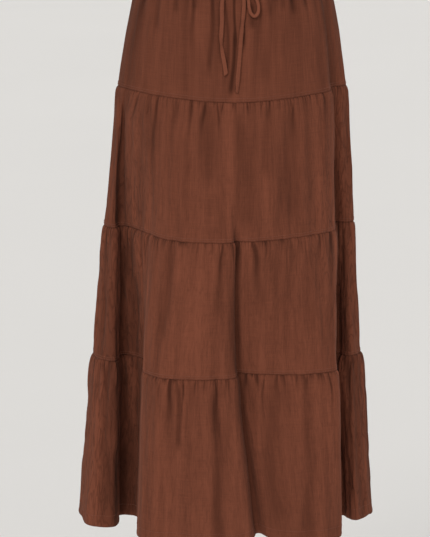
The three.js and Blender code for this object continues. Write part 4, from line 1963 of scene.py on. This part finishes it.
@dataclass
class Studio:
    """Camera, soft lights and the pale floor."""

    camera_place: Triple = (-0.028, -4.5, 0.408)
    look_down: float = 11.4
    lens: float = 188.5
    floor_height: float = -1.62
    floor_half: float = 150.0
    floor_colour: Triple = (0.82, 0.81, 0.795)
    air_colour: Triple = (1.0, 0.99, 0.975)
    wall_strength: float = 0.70
    sky_strength: float = 0.36
    suns: tuple[Sun, ...] = (
        Sun("key_light", 1.56, (56.0, -20.0), 22.0),
        Sun("fill_light", 0.84, (68.0, 10.0), 40.0),
        Sun("back_light", 0.85, (60.0, 164.0), 40.0),
    )

    def build_camera(self) -> None:
        """Set the camera at the photograph's angle."""
        data = bpy.data.cameras.new("camera")
        data.sensor_fit = "AUTO"
        data.sensor_width = 36.0
        data.lens = self.lens
        camera = placed("camera", data)
        camera.location = self.camera_place
        camera.rotation_euler = (math.radians(90.0 - self.look_down), 0.0, 0.0)
        bpy.context.scene.camera = camera

    def build_light(self) -> None:
        """Light the scene with a pale sky and three soft suns: left, right and behind."""
        scene = bpy.context.scene
        scene.view_settings.view_transform = "Standard"
        scene.world = bpy.data.worlds.new("soft_sky")
        tree = NodeTree(scene.world)
        place = tree.node("ShaderNodeTexCoord", {}, {}).outputs["Generated"]
        rise = tree.node("ShaderNodeSeparateXYZ", {}, {0: place}).outputs[2]
        wall = toned(self.air_colour, self.wall_strength)
        ceiling = toned(self.air_colour, self.sky_strength)
        stops = [(0.06, wall), (0.30, ceiling)]
        colour = tree.node("ShaderNodeValToRGB", {"stops": stops}, {0: rise}).outputs[0]
        sky = tree.node("ShaderNodeBackground", {}, {"Color": colour, "Strength": 1.0})
        tree.node("ShaderNodeOutputWorld", {}, {"Surface": sky.outputs[0]})
        for sun in self.suns:
            sun.build()

    def build_floor(self) -> None:
        """Lay the floor."""
        half = self.floor_half
        mesh = bpy.data.meshes.new("floor")
        corners = [(-half, -half, 0), (half, -half, 0), (half, half, 0), (-half, half, 0)]
        mesh.from_pydata(corners, [], [(0, 1, 2, 3)])
        mesh.materials.append(FloorFinish("studio_floor", self.floor_colour).material())
        floor = placed("floor", mesh)
        floor.location = (0.0, 0.0, self.floor_height)


# The whole


@dataclass
class Tie:
    """The bow: its strands, its knot and the two buttonholes."""

    band: Waistband
    tail_width: float = 0.0076
    tail_thick: float = 0.0026
    loop_width: float = 0.0064
    loop_thick: float = 0.0032

    def strands(self) -> list[TieStrand]:
        """Lay out the tie's four free lengths, each from the knot.

        Returns:
            The strands.
        """
        tail_left = (
            (-0.0055, -0.1126, -0.0088), (-0.0060, -0.1134, -0.013), (-0.0086, -0.1134, -0.021),
            (-0.0130, -0.1146, -0.033), (-0.0164, -0.1166, -0.048), (-0.0173, -0.1182, -0.064),
            (-0.0170, -0.1194, -0.080), (-0.0180, -0.1206, -0.098), (-0.0186, -0.1214, -0.116),
            (-0.0166, -0.1224, -0.130), (-0.0136, -0.1235, -0.146), (-0.0107, -0.1247, -0.164),
        )
        tail_right = (
            (0.0034, -0.1126, -0.0088), (0.0039, -0.1134, -0.013), (0.0076, -0.1134, -0.021),
            (0.0130, -0.1144, -0.033), (0.0170, -0.1164, -0.048), (0.0168, -0.1182, -0.064),
            (0.0152, -0.1196, -0.080), (0.0134, -0.1210, -0.098), (0.0120, -0.1222, -0.116),
            (0.0108, -0.1231, -0.132), (0.0094, -0.1242, -0.150), (0.0078, -0.1254, -0.170),
            (0.0059, -0.1266, -0.192),
        )
        loop_right = (
            (0.0086, -0.1194, -0.0068), (0.0134, -0.1199, -0.017), (0.0200, -0.1200, -0.034),
            (0.0240, -0.1199, -0.048), (0.0254, -0.1190, -0.060), (0.0280, -0.1182, -0.069),
            (0.0334, -0.1176, -0.0736), (0.0386, -0.1168, -0.0694), (0.0400, -0.1160, -0.060),
            (0.0374, -0.1152, -0.048), (0.0316, -0.1144, -0.033), (0.0230, -0.1146, -0.017),
            (0.0110, -0.1160, -0.0014),
        )
        loop_left = (
            (-0.0086, -0.1194, -0.0068), (-0.0150, -0.1196, -0.016), (-0.0240, -0.1170, -0.027),
            (-0.0330, -0.1134, -0.0346), (-0.0410, -0.1114, -0.0368), (-0.0460, -0.1098, -0.0326),
            (-0.0450, -0.1090, -0.0246), (-0.0374, -0.1094, -0.0156), (-0.0250, -0.1122, -0.0076),
            (-0.0110, -0.1160, -0.0014),
        )
        tail = (self.tail_width, self.tail_thick)
        loop = (self.loop_width, self.loop_thick)
        left_twists = ((0.036, 18.0), (0.112, 38.0))
        right_twists = ((0.040, -16.0), (0.078, 26.0), (0.183, 30.0))
        loop_twists = ((0.05, -12.0), (0.09, 10.0))
        return [
            TieStrand("tie_tail_left", tail_left, *tail, 21, left_twists, slant=0.0022),
            TieStrand("tie_tail_right", tail_right, *tail, 22, right_twists, slant=-0.001),
            TieStrand("tie_loop_left", loop_left, *loop, 23, ((0.03, 10.0),), far_end="object"),
            TieStrand("tie_loop_right", loop_right, *loop, 24, loop_twists, far_end="object"),
        ]

    def build(self, cloth: Material, thread: Material) -> None:
        """Build the tie and log its strands' lengths.

        Args:
            cloth: The tie's cloth.
            thread: The buttonholes' thread.
        """
        built = [(strand, strand.build(cloth)) for strand in self.strands()]
        knot = TieKnot().build(cloth)
        for hand in (-1.0, 1.0):
            Buttonhole(hand, self.band).build(thread)
        for number, (strand, piece) in enumerate(built):
            strand.declare(piece, [knot] if number == 0 else [])


@dataclass
class Skirt:
    """The four tiers and the stitching that joins them."""

    form: SkirtForm = field(default_factory=SkirtForm)
    seam_rows: tuple[float, ...] = (0.0026, 0.0062)
    hem_rows: tuple[float, ...] = (0.0185,)
    stitch_samples: int = 1800
    cut_samples: int = 2001
    fullness: float = 1.2
    slack_length: float = 0.02

    def tiers(self) -> list[Tier]:
        """Lay out the tiers.

        Returns:
            The tiers from the yoke down.
        """
        return [
            Tier(
                "tier_1", self.form, -0.0200, -0.1990, 0.0016, 0.0150, 0.0014, 0.026, 0.3, 100,
                crinkle=0.7, gather_width=0.0020, tick=0.018, tuck=0.0,
            ),
            Tier("tier_2", self.form, -0.1990, -0.4290, 0.0030, 0.0100, 0.0015, 0.014, 0.16, 200),
            Tier("tier_3", self.form, -0.4290, -0.6500, 0.0030, 0.0100, 0.0016, 0.014, 0.18, 300),
            Tier(
                "tier_4", self.form, -0.6500, -0.9250, 0.0032, 0.0100, 0.0018, 0.016, 0.20, 400,
                hemmed=True,
            ),
        ]

    def build(self, cloth: Material, thread: Material) -> None:
        """Build every panel and its stitching.

        Args:
            cloth: The skirt's cloth.
            thread: The sewing thread.
        """
        seams = Stitches("seam_stitches")
        hem = Stitches("hem_stitches")
        for tier in self.tiers():
            store, rows = (hem, self.hem_rows) if tier.hemmed else (seams, self.seam_rows)
            for side in Side:
                panel = tier.build(side, cloth)
                flat = self._cut(tier, side)
                places = np.linspace(*self.form.span(side), self.stitch_samples)
                for over in rows:
                    store.row(*tier.stitch_line(side, over, places))
        seams.build(thread)
        hem.build(thread)

    def _cut(self, tier: Tier, side: Side) -> Pair:
        """Work out what a panel was cut to, gathers and allowances included.

        Args:
            tier: The panel's tier.
            side: Its half.

        Returns:
            The width and the length.
        """
        middle = (tier.top + tier.foot) / 2
        places = np.linspace(*self.form.span(side), self.cut_samples)
        width = float(self.form.run(middle, places)[-1])
        return round(width * self.fullness, 3), round(tier.high + self.slack_length, 3)


def main() -> None:
    """Build the studio and the skirt."""
    logging.basicConfig(level=logging.INFO, format="%(name)s %(message)s")
    studio = Studio()
    studio.build_camera()
    studio.build_light()
    studio.build_floor()
    cloth = ClothFinish("brown_cloth", (0.123, 0.0383, 0.0213)).material()
    tie_finish = ClothFinish("brown_tie_cloth", (0.153, 0.0488, 0.0276), bands=0.35, crinkle=0.00025)
    tie_cloth = tie_finish.material()
    thread = ThreadFinish("brown_thread", (0.165, 0.052, 0.029)).material()
    skirt = Skirt()
    band = Waistband(skirt.form)
    Tie(band).build(tie_cloth, thread)
    band.build(cloth)
    skirt.build(cloth, thread)
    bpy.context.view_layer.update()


if __name__ == "__main__":
    main()
